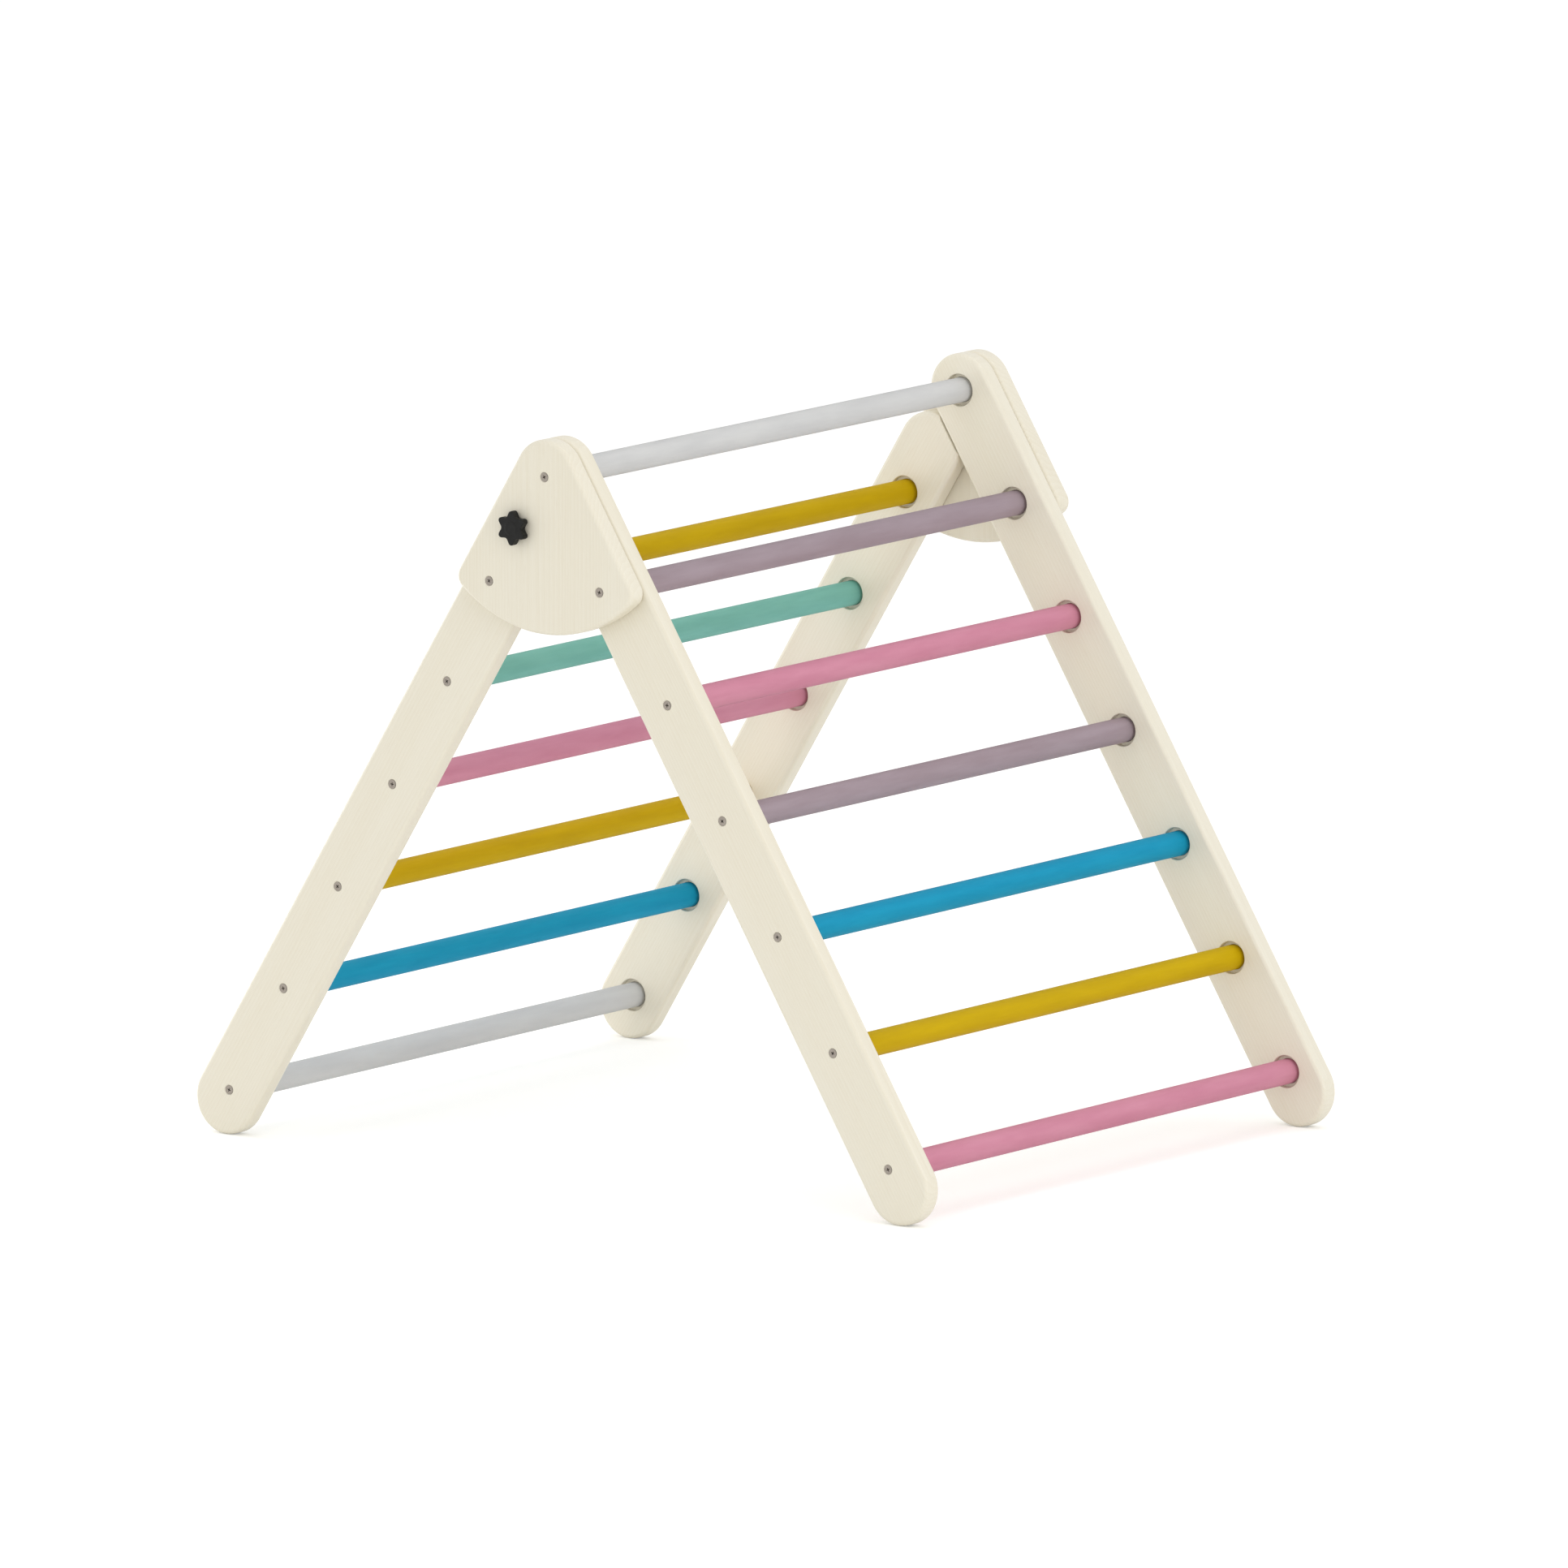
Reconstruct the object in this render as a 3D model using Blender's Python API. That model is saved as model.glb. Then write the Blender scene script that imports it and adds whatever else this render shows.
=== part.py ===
"""Climbing triangle: two ladders that meet at the top, spread open on the floor.

Each ladder has two flat wooden rails and six round rungs, and a thirteenth rung sits in the
heads of the front rails. A fan-shaped plate on the outside of each pair of rails is screwed to
the front rail. The rear ladder swings on a pivot screw through each plate, and a star knob
on each plate clamps it where it stands open.

X runs from the back to the front, Y along the rungs, Z up. The origin is on the floor, in the
middle of the feet. Lengths are in metres.
"""

import math

import bmesh
import bpy

MM = 0.001

# Rails
RAIL_LENGTH = 750 * MM
RAIL_WIDTH = 64 * MM
RAIL_THICKNESS = 18 * MM
EDGE_ROUNDING = 4 * MM
WIDTH_OVER_RAILS = 600 * MM
LEG_LEAN = math.radians(31.9)

# Rungs
RUNGS_PER_LADDER = 6
FRONT_RUNGS_UNDER_PLATE = 2
REAR_RUNGS_UNDER_PLATE = 1
RUNG_DIAMETER = 22 * MM
FRONT_RUNG_ABOVE_FOOT = 18.8 * MM
REAR_RUNG_ABOVE_FOOT = 9.2 * MM

# Sockets that the rungs sit in
WOOD_BEHIND_SOCKET = 6 * MM
SOCKET_MOUTH_WIDTH = 3 * MM
SOCKET_MOUTH_DEPTH = 5 * MM

# Where a rear rail's top is sawn off, as shares of a rail's width before and past the apex
SAW_START_SHARE = -1
SAW_END_SHARE = 2

# Fan plates
PLATE_THICKNESS = 18 * MM
PLATE_BELOW_FIRST_RUNG = 24.2 * MM
PLATE_CORNER_RADIUS = 12 * MM

# Countersunk screws
SCREW_HEAD_DIAMETER = 8 * MM
SCREW_HEAD_RECESS = 0.4 * MM
SCREW_SHANK_DIAMETER = 4 * MM
SCREW_IN_RUNG = 30 * MM
SCREW_TIP_LENGTH = 4 * MM
PIVOT_SHANK_DIAMETER = 5 * MM

# Star knobs, their studs and the threaded inserts in the plates
KNOB_LOBES = 6
KNOB_DIAMETER = 30 * MM
KNOB_LOBE_DEPTH = 4.4 * MM
KNOB_HEIGHT = 10 * MM
KNOB_EDGE_ROUNDING = 2 * MM
KNOB_COLLAR_DIAMETER = 17 * MM
KNOB_COLLAR_HEIGHT = 2 * MM
KNOB_PLACE_SHARE = 0.48
STUD_DIAMETER = 8 * MM
STUD_IN_KNOB = 7 * MM
STUD_END_CHAMFER = 1 * MM
INSERT_DIAMETER = 12 * MM
INSERT_LENGTH = 13 * MM
INSERT_FLANGE_DIAMETER = 18 * MM
INSERT_FLANGE_THICKNESS = 2 * MM

# Clearances and how finely curves are cut
GAP = 0.3 * MM
OVERRUN = 2 * MM
MERGE = 0.001 * MM
RUNG_SIDES = 18
SCREW_SIDES = 10
STUD_SIDES = 16
ROUNDING_STEPS = 3
HEAD_STEPS = 14
FOOT_STEPS = 7
PLATE_TOP_STEPS = 12
PLATE_FOOT_STEPS = 16
PLATE_CORNER_STEPS = 5
POINTS_PER_LOBE = 8
SMOOTH_ANGLE = math.radians(35)

NEAR = -1
FAR = 1
SIDES = {"near": NEAR, "far": FAR}

# Sizes that follow from the ones above
HALF_RAIL = RAIL_WIDTH / 2
APEX_TO_FOOT = RAIL_LENGTH - RAIL_WIDTH
APEX_HEIGHT = APEX_TO_FOOT * math.cos(LEG_LEAN) + HALF_RAIL
FRONT_SPACING = (APEX_TO_FOOT - FRONT_RUNG_ABOVE_FOOT) / RUNGS_PER_LADDER
REAR_SPACING = (APEX_TO_FOOT - REAR_RUNG_ABOVE_FOOT) / RUNGS_PER_LADDER
RAIL_FACE = WIDTH_OVER_RAILS / 2
PLATE_BACK = RAIL_FACE + GAP
PLATE_FACE = PLATE_BACK + PLATE_THICKNESS
RUNG_END = RAIL_FACE - WOOD_BEHIND_SOCKET - GAP
RUNG_RADIUS = RUNG_DIAMETER / 2
SOCKET_RADIUS = RUNG_RADIUS + GAP
SCREW_REACH = RUNG_END - SCREW_IN_RUNG
PLATE_RADIUS = max(FRONT_SPACING, REAR_SPACING) + PLATE_BELOW_FIRST_RUNG
REAR_TOP_CENTRE = RAIL_WIDTH + GAP
KNOB_FROM_APEX = REAR_SPACING * KNOB_PLACE_SHARE


def srgb(red, green, blue):
    """Turn a colour from 0-255 screen values into the linear values Blender uses."""
    def channel(value):
        value = value / 255
        if value <= 0.04045:
            return value / 12.92
        return ((value + 0.055) / 1.055) ** 2.4
    return (channel(red), channel(green), channel(blue), 1)


def material(name, colour, roughness, metallic=0):
    """A plain material of one colour."""
    made = bpy.data.materials.new(name)
    made.use_nodes = True
    shader = made.node_tree.nodes["Principled BSDF"]
    shader.inputs["Base Color"].default_value = colour
    shader.inputs["Roughness"].default_value = roughness
    shader.inputs["Metallic"].default_value = metallic
    made.diffuse_color = colour
    return made


def axis_empty(name, location, lean):
    """An empty that carries the pieces of one moving group."""
    empty = bpy.data.objects.new(name, None)
    empty.location = location
    empty.rotation_euler = (0, lean, 0)
    empty.empty_display_size = RAIL_WIDTH
    bpy.context.collection.objects.link(empty)
    return empty


def add_object(bm, name, parent, made_of, location=(0, 0, 0)):
    """Close the mesh up as an object in its parent's frame."""
    bmesh.ops.recalc_face_normals(bm, faces=bm.faces)
    mesh = bpy.data.meshes.new(name)
    bm.to_mesh(mesh)
    bm.free()
    mesh.shade_smooth()
    mesh.set_sharp_from_angle(angle=SMOOTH_ANGLE)
    piece = bpy.data.objects.new(name, mesh)
    piece.parent = parent
    piece.location = location
    if made_of is not None:
        mesh.materials.append(made_of)
    bpy.context.collection.objects.link(piece)
    return piece


def cut(piece, bm, name):
    """Take the bodies in bm, drawn in the piece's own frame, out of the piece."""
    cutter = add_object(bm, name, piece.parent, None, piece.location)
    cutter.hide_render = True
    cutter.display_type = "WIRE"
    boolean = piece.modifiers.new(name, "BOOLEAN")
    boolean.operation = "DIFFERENCE"
    boolean.solver = "EXACT"
    boolean.object = cutter


def arc(centre, radius, start, end, steps):
    """Points of an arc in the XZ plane, both ends included."""
    points = []
    for step in range(steps + 1):
        angle = start + (end - start) * step / steps
        x = centre[0] + radius * math.cos(angle)
        z = centre[1] + radius * math.sin(angle)
        points.append((x, z))
    return points


def slab(outline, side, face, thickness):
    """A board with the given outline, whose outer face is at the given Y, its rims rounded."""
    bm = bmesh.new()
    outer = side * face
    inner = side * (face - thickness)
    corners = [bm.verts.new((x, outer, z)) for x, z in outline]
    board = bm.faces.new(corners)
    grown = bmesh.ops.extrude_face_region(bm, geom=[board])
    moved = [item for item in grown["geom"] if isinstance(item, bmesh.types.BMVert)]
    bmesh.ops.translate(bm, verts=moved, vec=(0, inner - outer, 0))
    bmesh.ops.recalc_face_normals(bm, faces=bm.faces)
    rims = [edge for edge in bm.edges if len(edge.link_faces) == 2 and is_rim(edge)]
    bmesh.ops.bevel(
        bm, geom=rims, offset=EDGE_ROUNDING, offset_type="OFFSET", segments=ROUNDING_STEPS,
        profile=0.5, affect="EDGES", clamp_overlap=False)
    return bm


def is_rim(edge):
    """True for an edge between a board's broad face and its narrow edge."""
    return abs(edge.verts[0].co.y - edge.verts[1].co.y) < MERGE


def turn(bm, profile, x, z, sides, closed=False):
    """Spin a profile of (radius, Y) points about a Y axis through x, z into a closed body."""
    start = len(bm.verts)
    points = [bm.verts.new((x + radius, y, z)) for radius, y in profile]
    pairs = list(zip(points, points[1:]))
    if closed:
        pairs.append((points[-1], points[0]))
    edges = [bm.edges.new(pair) for pair in pairs]
    bmesh.ops.spin(
        bm, geom=points + edges, cent=(x, 0, z), axis=(0, 1, 0), dvec=(0, 0, 0),
        angle=math.tau, steps=sides, use_duplicate=False)
    bm.verts.ensure_lookup_table()
    bmesh.ops.remove_doubles(bm, verts=bm.verts[start:], dist=MERGE)


def screw_profile(side, face, reach, shank_radius):
    """A countersunk screw whose head lies just under a face, its point at the given reach."""
    head_radius = SCREW_HEAD_DIAMETER / 2
    top = face - SCREW_HEAD_RECESS
    neck = top - (head_radius - shank_radius)
    return [
        (0, side * top),
        (head_radius, side * top),
        (shank_radius, side * neck),
        (shank_radius, side * (reach + SCREW_TIP_LENGTH)),
        (0, side * reach),
    ]


def screw_hole_profile(side, face, back, shank_radius):
    """The countersunk hole such a screw passes through, from a board's face to its back.

    The cone lies one gap off the screw's own cone, measured square to it.
    """
    rise = SCREW_HEAD_RECESS + OVERRUN
    head_radius = SCREW_HEAD_DIAMETER / 2 + GAP * math.sqrt(2) + rise
    hole_radius = shank_radius + GAP
    top = face + OVERRUN
    neck = top - (head_radius - hole_radius)
    return [
        (0, side * top),
        (head_radius, side * top),
        (hole_radius, side * neck),
        (hole_radius, side * back),
        (0, side * back),
    ]


def plain_hole_profile(side, face, back, radius):
    """A plain round hole from a board's face to its back."""
    return [
        (0, side * (face + OVERRUN)),
        (radius, side * (face + OVERRUN)),
        (radius, side * back),
        (0, side * back),
    ]


def socket_profile(side):
    """The blind socket for a rung's end, opened out to a wider mouth at the inner face."""
    floor = RAIL_FACE - WOOD_BEHIND_SOCKET
    inner_face = RAIL_FACE - RAIL_THICKNESS
    ledge = inner_face + SOCKET_MOUTH_DEPTH
    mouth_radius = SOCKET_RADIUS + SOCKET_MOUTH_WIDTH
    return [
        (0, side * floor),
        (SOCKET_RADIUS, side * floor),
        (SOCKET_RADIUS, side * ledge),
        (mouth_radius, side * ledge),
        (mouth_radius, side * (inner_face - OVERRUN)),
        (0, side * (inner_face - OVERRUN)),
    ]


def drill_rail(rail, side, places, first_shank_radius, covered):
    """Cut a socket and a screw hole into a rail at each rung.

    The first holes, as many as covered says, lie under the fan plate and have no countersink.
    """
    sockets = bmesh.new()
    screw_holes = bmesh.new()
    back = RAIL_FACE - WOOD_BEHIND_SOCKET - OVERRUN
    for index, place in enumerate(places):
        shank_radius = first_shank_radius if index == 0 else SCREW_SHANK_DIAMETER / 2
        if index < covered:
            hole = plain_hole_profile(side, RAIL_FACE, back, shank_radius + GAP)
        else:
            hole = screw_hole_profile(side, RAIL_FACE, back, shank_radius)
        turn(sockets, socket_profile(side), 0, place, RUNG_SIDES)
        turn(screw_holes, hole, 0, place, SCREW_SIDES)
    cut(rail, sockets, rail.name + "_sockets")
    cut(rail, screw_holes, rail.name + "_screw_holes")


def add_rung(name, parent, place, shank_radius, made_of):
    """A round rung with a blind pilot hole for a screw in each end."""
    rod = bmesh.new()
    outline = [(0, -RUNG_END), (RUNG_RADIUS, -RUNG_END), (RUNG_RADIUS, RUNG_END), (0, RUNG_END)]
    turn(rod, outline, 0, 0, RUNG_SIDES)
    rung = add_object(rod, name, parent, made_of, (0, 0, place))
    pilots = bmesh.new()
    for side in SIDES.values():
        hole = plain_hole_profile(side, RUNG_END, SCREW_REACH - GAP, shank_radius + GAP)
        turn(pilots, hole, 0, 0, SCREW_SIDES)
    cut(rung, pilots, name + "_pilot_holes")
    return rung


def add_screw(name, parent, place, side, face, shank_radius, made_of):
    """A screw into a rung's end, at a place along its ladder."""
    bm = bmesh.new()
    turn(bm, screw_profile(side, face, SCREW_REACH, shank_radius), 0, 0, SCREW_SIDES)
    return add_object(bm, name, parent, made_of, (0, 0, place))


def foot_arc(outer_sign):
    """The round lower end of a rail, with a point where it touches the floor."""
    centre = (0, -APEX_TO_FOOT)
    down = math.radians(-90) - outer_sign * LEG_LEAN
    first = arc(centre, HALF_RAIL, 0, down, FOOT_STEPS)
    second = arc(centre, HALF_RAIL, down, math.radians(-180), FOOT_STEPS)
    return first + second[1:]


def add_front_rail(name, parent, side, made_of):
    """A front rail: round at both ends, its head round the apex rung."""
    outline = arc((0, 0), HALF_RAIL, math.radians(180), 0, HEAD_STEPS) + foot_arc(1)
    rail = add_object(slab(outline, side, RAIL_FACE, RAIL_THICKNESS), name, parent, made_of)
    places = [-FRONT_SPACING * index for index in range(RUNGS_PER_LADDER + 1)]
    drill_rail(rail, side, places, SCREW_SHANK_DIAMETER / 2, FRONT_RUNGS_UNDER_PLATE)
    return rail


def add_rear_rail(name, parent, side, made_of):
    """A rear rail: its round top stops short of the front rail and is sawn off beside it.

    Its frame has the pivot at the origin, so everything is one rung spacing lower.
    """
    outline = arc((0, -REAR_TOP_CENTRE), HALF_RAIL, math.radians(180), 0, HEAD_STEPS)
    outline += foot_arc(-1)
    outline = [(x, z + REAR_SPACING) for x, z in outline]
    rail = add_object(slab(outline, side, RAIL_FACE, RAIL_THICKNESS), name, parent, made_of)

    apex = (0, REAR_SPACING)
    turned = 2 * LEG_LEAN
    along = (math.sin(turned), -math.cos(turned))
    across = (-math.cos(turned), -math.sin(turned))
    start = SAW_START_SHARE * RAIL_WIDTH
    end = SAW_END_SHARE * RAIL_WIDTH
    beside = HALF_RAIL + GAP
    corners = []
    for reach, offset in ((start, beside), (end, beside), (end, -beside), (start, -beside)):
        x = apex[0] + along[0] * reach + across[0] * offset
        z = apex[1] + along[1] * reach + across[1] * offset
        corners.append((x, z))
    cut(rail, saw_cut(corners), name + "_saw_cut")

    places = [-REAR_SPACING * index for index in range(RUNGS_PER_LADDER)]
    drill_rail(rail, side, places, PIVOT_SHANK_DIAMETER / 2, REAR_RUNGS_UNDER_PLATE)
    return rail


def saw_cut(corners):
    """A block that spans the whole part in Y, for a straight cut across both rails' height."""
    bm = bmesh.new()
    points = [bm.verts.new((x, -RAIL_FACE - OVERRUN, z)) for x, z in corners]
    face = bm.faces.new(points)
    grown = bmesh.ops.extrude_face_region(bm, geom=[face])
    moved = [item for item in grown["geom"] if isinstance(item, bmesh.types.BMVert)]
    bmesh.ops.translate(bm, verts=moved, vec=(0, 2 * (RAIL_FACE + OVERRUN), 0))
    return bm


def on_leg(sign, distance, offset=0):
    """The X and Z, from the apex, of a point on a leg: sign 1 for the front, -1 for the rear."""
    x = distance * math.sin(LEG_LEAN) + offset * math.cos(LEG_LEAN)
    z = offset * math.sin(LEG_LEAN) - distance * math.cos(LEG_LEAN)
    return (sign * x, z)


def plate_outline():
    """A fan about the apex: a round top, straight sides and a long curved lower edge."""
    lean = LEG_LEAN
    corner_from_apex = PLATE_RADIUS - PLATE_CORNER_RADIUS
    corner_offset = HALF_RAIL - PLATE_CORNER_RADIUS
    corner_along = math.sqrt(corner_from_apex ** 2 - corner_offset ** 2)
    spread = lean + math.atan2(corner_offset, corner_along)
    straight_down = math.radians(-90)
    points = arc((0, 0), HALF_RAIL, math.pi - lean, lean, PLATE_TOP_STEPS)
    front = on_leg(1, corner_along, corner_offset)
    front_turn = straight_down + spread
    points += arc(front, PLATE_CORNER_RADIUS, lean, front_turn, PLATE_CORNER_STEPS)
    rear_turn = straight_down - spread
    points += arc((0, 0), PLATE_RADIUS, front_turn, rear_turn, PLATE_FOOT_STEPS)[1:-1]
    rear = on_leg(-1, corner_along, corner_offset)
    points += arc(rear, PLATE_CORNER_RADIUS, rear_turn, -math.pi - lean, PLATE_CORNER_STEPS)
    return points


def insert_hole_profile(side):
    """The stepped hole for a threaded insert, which goes in from the plate's back."""
    flange_floor = PLATE_BACK + INSERT_FLANGE_THICKNESS + GAP
    barrel_floor = PLATE_BACK + INSERT_LENGTH + GAP
    flange_radius = INSERT_FLANGE_DIAMETER / 2 + GAP
    barrel_radius = INSERT_DIAMETER / 2 + GAP
    stud_radius = STUD_DIAMETER / 2 + GAP
    return [
        (0, side * (PLATE_BACK - OVERRUN)),
        (flange_radius, side * (PLATE_BACK - OVERRUN)),
        (flange_radius, side * flange_floor),
        (barrel_radius, side * flange_floor),
        (barrel_radius, side * barrel_floor),
        (stud_radius, side * barrel_floor),
        (stud_radius, side * (PLATE_FACE + OVERRUN)),
        (0, side * (PLATE_FACE + OVERRUN)),
    ]


def add_plate(name, parent, side, made_of):
    """A fan plate with its screw holes, its pivot hole and the hole for the insert."""
    board = slab(plate_outline(), side, PLATE_FACE, PLATE_THICKNESS)
    plate = add_object(board, name, parent, made_of)
    screw_radius = SCREW_SHANK_DIAMETER / 2
    drilled = [
        ((0, 0), screw_radius),
        (on_leg(1, FRONT_SPACING), screw_radius),
        (on_leg(-1, REAR_SPACING), PIVOT_SHANK_DIAMETER / 2),
    ]
    bm = bmesh.new()
    for (x, z), radius in drilled:
        back = PLATE_BACK - OVERRUN
        profile = screw_hole_profile(side, PLATE_FACE, back, radius)
        turn(bm, profile, x, z, SCREW_SIDES)
    knob_x, knob_z = on_leg(-1, KNOB_FROM_APEX)
    turn(bm, insert_hole_profile(side), knob_x, knob_z, STUD_SIDES)
    cut(plate, bm, name + "_holes")
    return plate


def add_insert(name, parent, side, made_of):
    """A threaded insert: a barrel with a flange flush with the plate's back."""
    x, z = on_leg(-1, KNOB_FROM_APEX)
    bore = STUD_DIAMETER / 2 + GAP
    barrel = INSERT_DIAMETER / 2
    flange = INSERT_FLANGE_DIAMETER / 2
    profile = [
        (bore, side * PLATE_BACK),
        (flange, side * PLATE_BACK),
        (flange, side * (PLATE_BACK + INSERT_FLANGE_THICKNESS)),
        (barrel, side * (PLATE_BACK + INSERT_FLANGE_THICKNESS)),
        (barrel, side * (PLATE_BACK + INSERT_LENGTH)),
        (bore, side * (PLATE_BACK + INSERT_LENGTH)),
    ]
    bm = bmesh.new()
    turn(bm, profile, x, z, STUD_SIDES, closed=True)
    return add_object(bm, name, parent, made_of)


def add_stud(name, parent, side, made_of):
    """The knob's stud: through the insert, its tip against the rear rail's face."""
    radius = STUD_DIAMETER / 2
    tip = PLATE_BACK
    top = PLATE_FACE + STUD_IN_KNOB
    profile = [
        (0, side * tip),
        (radius - STUD_END_CHAMFER, side * tip),
        (radius, side * (tip + STUD_END_CHAMFER)),
        (radius, side * top),
        (0, side * top),
    ]
    bm = bmesh.new()
    turn(bm, profile, 0, 0, STUD_SIDES)
    return add_object(bm, name, parent, made_of)


def lobed_ring(bm, radius, lobe_depth, y):
    """One ring of the knob: a circle when lobe_depth is zero, else a star with soft lobes.

    Two of the lobes point straight up and straight down.
    """
    count = KNOB_LOBES * POINTS_PER_LOBE
    ring = []
    for index in range(count):
        angle = math.tau * index / count
        reach = radius - lobe_depth * (1 - math.cos(KNOB_LOBES * angle)) / 2
        ring.append(bm.verts.new((reach * math.sin(angle), y, reach * math.cos(angle))))
    return ring


def add_knob(name, parent, side, made_of):
    """A six-lobed star knob on a collar, lofted ring by ring, with a blind bore for its stud."""
    base = PLATE_FACE + GAP
    bore = STUD_DIAMETER / 2 + GAP
    collar = KNOB_COLLAR_DIAMETER / 2
    head = KNOB_DIAMETER / 2
    edge = KNOB_EDGE_ROUNDING
    eased = edge * (1 - math.sqrt(0.5))
    rings = [
        (bore, 0, STUD_IN_KNOB),
        (bore, 0, 0),
        (collar, 0, 0),
        (collar, 0, KNOB_COLLAR_HEIGHT),
        (head - edge / 2, KNOB_LOBE_DEPTH, KNOB_COLLAR_HEIGHT),
        (head, KNOB_LOBE_DEPTH, KNOB_COLLAR_HEIGHT + edge / 2),
        (head, KNOB_LOBE_DEPTH, KNOB_HEIGHT - edge),
        (head - eased, KNOB_LOBE_DEPTH, KNOB_HEIGHT - eased),
        (head - edge, KNOB_LOBE_DEPTH, KNOB_HEIGHT),
    ]
    bm = bmesh.new()
    made = [lobed_ring(bm, radius, depth, side * (base + up)) for radius, depth, up in rings]
    for lower, upper in zip(made, made[1:]):
        for index in range(len(lower)):
            after = (index + 1) % len(lower)
            bm.faces.new((lower[index], lower[after], upper[after], upper[index]))
    bm.faces.new(made[0])
    bm.faces.new(made[-1])
    return add_object(bm, name, parent, made_of)


def build():
    """Make every piece of the triangle."""
    for old in list(bpy.data.objects):
        bpy.data.objects.remove(old, do_unlink=True)

    wood = material("lacquered_wood", srgb(230, 223, 207), 0.45)
    steel = material("zinc_plated_steel", srgb(150, 143, 135), 0.4, 1)
    brass = material("insert_brass", srgb(196, 164, 92), 0.35, 1)
    plastic = material("moulded_black_plastic", srgb(28, 27, 27), 0.5)
    paints = {
        "grey_white": srgb(202, 201, 200),
        "mauve": srgb(160, 145, 150),
        "pink": srgb(206, 140, 156),
        "blue": srgb(34, 147, 179),
        "yellow": srgb(199, 160, 10),
        "teal": srgb(121, 173, 161),
    }
    paint = {name: material("paint_" + name, colour, 0.35) for name, colour in paints.items()}
    front_colours = ["mauve", "pink", "mauve", "blue", "yellow", "pink"]
    rear_colours = ["yellow", "teal", "pink", "yellow", "blue", "grey_white"]

    pivot_x, pivot_z = on_leg(-1, REAR_SPACING)
    knob_x, knob_z = on_leg(-1, KNOB_FROM_APEX)
    apex_frame = axis_empty("apex_axis", (0, 0, APEX_HEIGHT), 0)
    front_ladder = axis_empty("front_ladder_axis", (0, 0, APEX_HEIGHT), -LEG_LEAN)
    rear_ladder = axis_empty("fold_axis", (pivot_x, 0, APEX_HEIGHT + pivot_z), LEG_LEAN)

    screw_radius = SCREW_SHANK_DIAMETER / 2
    pivot_radius = PIVOT_SHANK_DIAMETER / 2
    add_rung("rung_apex", front_ladder, 0, screw_radius, paint["grey_white"])
    for index, colour in enumerate(front_colours, start=1):
        place = -FRONT_SPACING * index
        add_rung(f"rung_front_{index}", front_ladder, place, screw_radius, paint[colour])
    for index, colour in enumerate(rear_colours, start=1):
        place = -REAR_SPACING * (index - 1)
        shank = pivot_radius if index == 1 else screw_radius
        add_rung(f"rung_rear_{index}", rear_ladder, place, shank, paint[colour])

    for name, side in SIDES.items():
        add_front_rail("front_rail_" + name, front_ladder, side, wood)
        add_rear_rail("rear_rail_" + name, rear_ladder, side, wood)
        add_plate("fan_plate_" + name, apex_frame, side, wood)
        add_insert("threaded_insert_" + name, apex_frame, side, brass)
        for index in range(RUNGS_PER_LADDER + 1):
            through_plate = index < FRONT_RUNGS_UNDER_PLATE
            face = PLATE_FACE if through_plate else RAIL_FACE
            kind = "plate_screw" if through_plate else "front_rail_screw"
            place = -FRONT_SPACING * index
            add_screw(f"{kind}_{name}_{index}", front_ladder, place, side, face, screw_radius,
                      steel)
        add_screw("pivot_screw_" + name, rear_ladder, 0, side, PLATE_FACE, pivot_radius, steel)
        for index in range(REAR_RUNGS_UNDER_PLATE + 1, RUNGS_PER_LADDER + 1):
            place = -REAR_SPACING * (index - 1)
            add_screw(f"rear_rail_screw_{name}_{index}", rear_ladder, place, side, RAIL_FACE,
                      screw_radius, steel)
        knob_axis = axis_empty("knob_axis_" + name, (knob_x, 0, APEX_HEIGHT + knob_z), 0)
        add_knob("star_knob_" + name, knob_axis, side, plastic)
        add_stud("knob_stud_" + name, knob_axis, side, steel)


build()
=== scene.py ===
# %% [markdown]
# # A climbing triangle
#
# The real thing is a toddler's climbing frame: two small ladders of pale lacquered wood that
# meet at the top and stand spread on the floor. The rungs are round wooden rods, each painted
# one soft colour. A fan-shaped plate on the outside of each pair of rails holds the two
# ladders together, and a black star knob on each plate clamps them.
#
# The solids in the frame are exact in size but coarse, so the boards, rods, screws and knobs
# are modelled again here with fine curves, in the same places. The frame gives every size.

# %% Load the frame
import math

import bmesh
import bpy
from mathutils import Matrix, Vector


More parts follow.
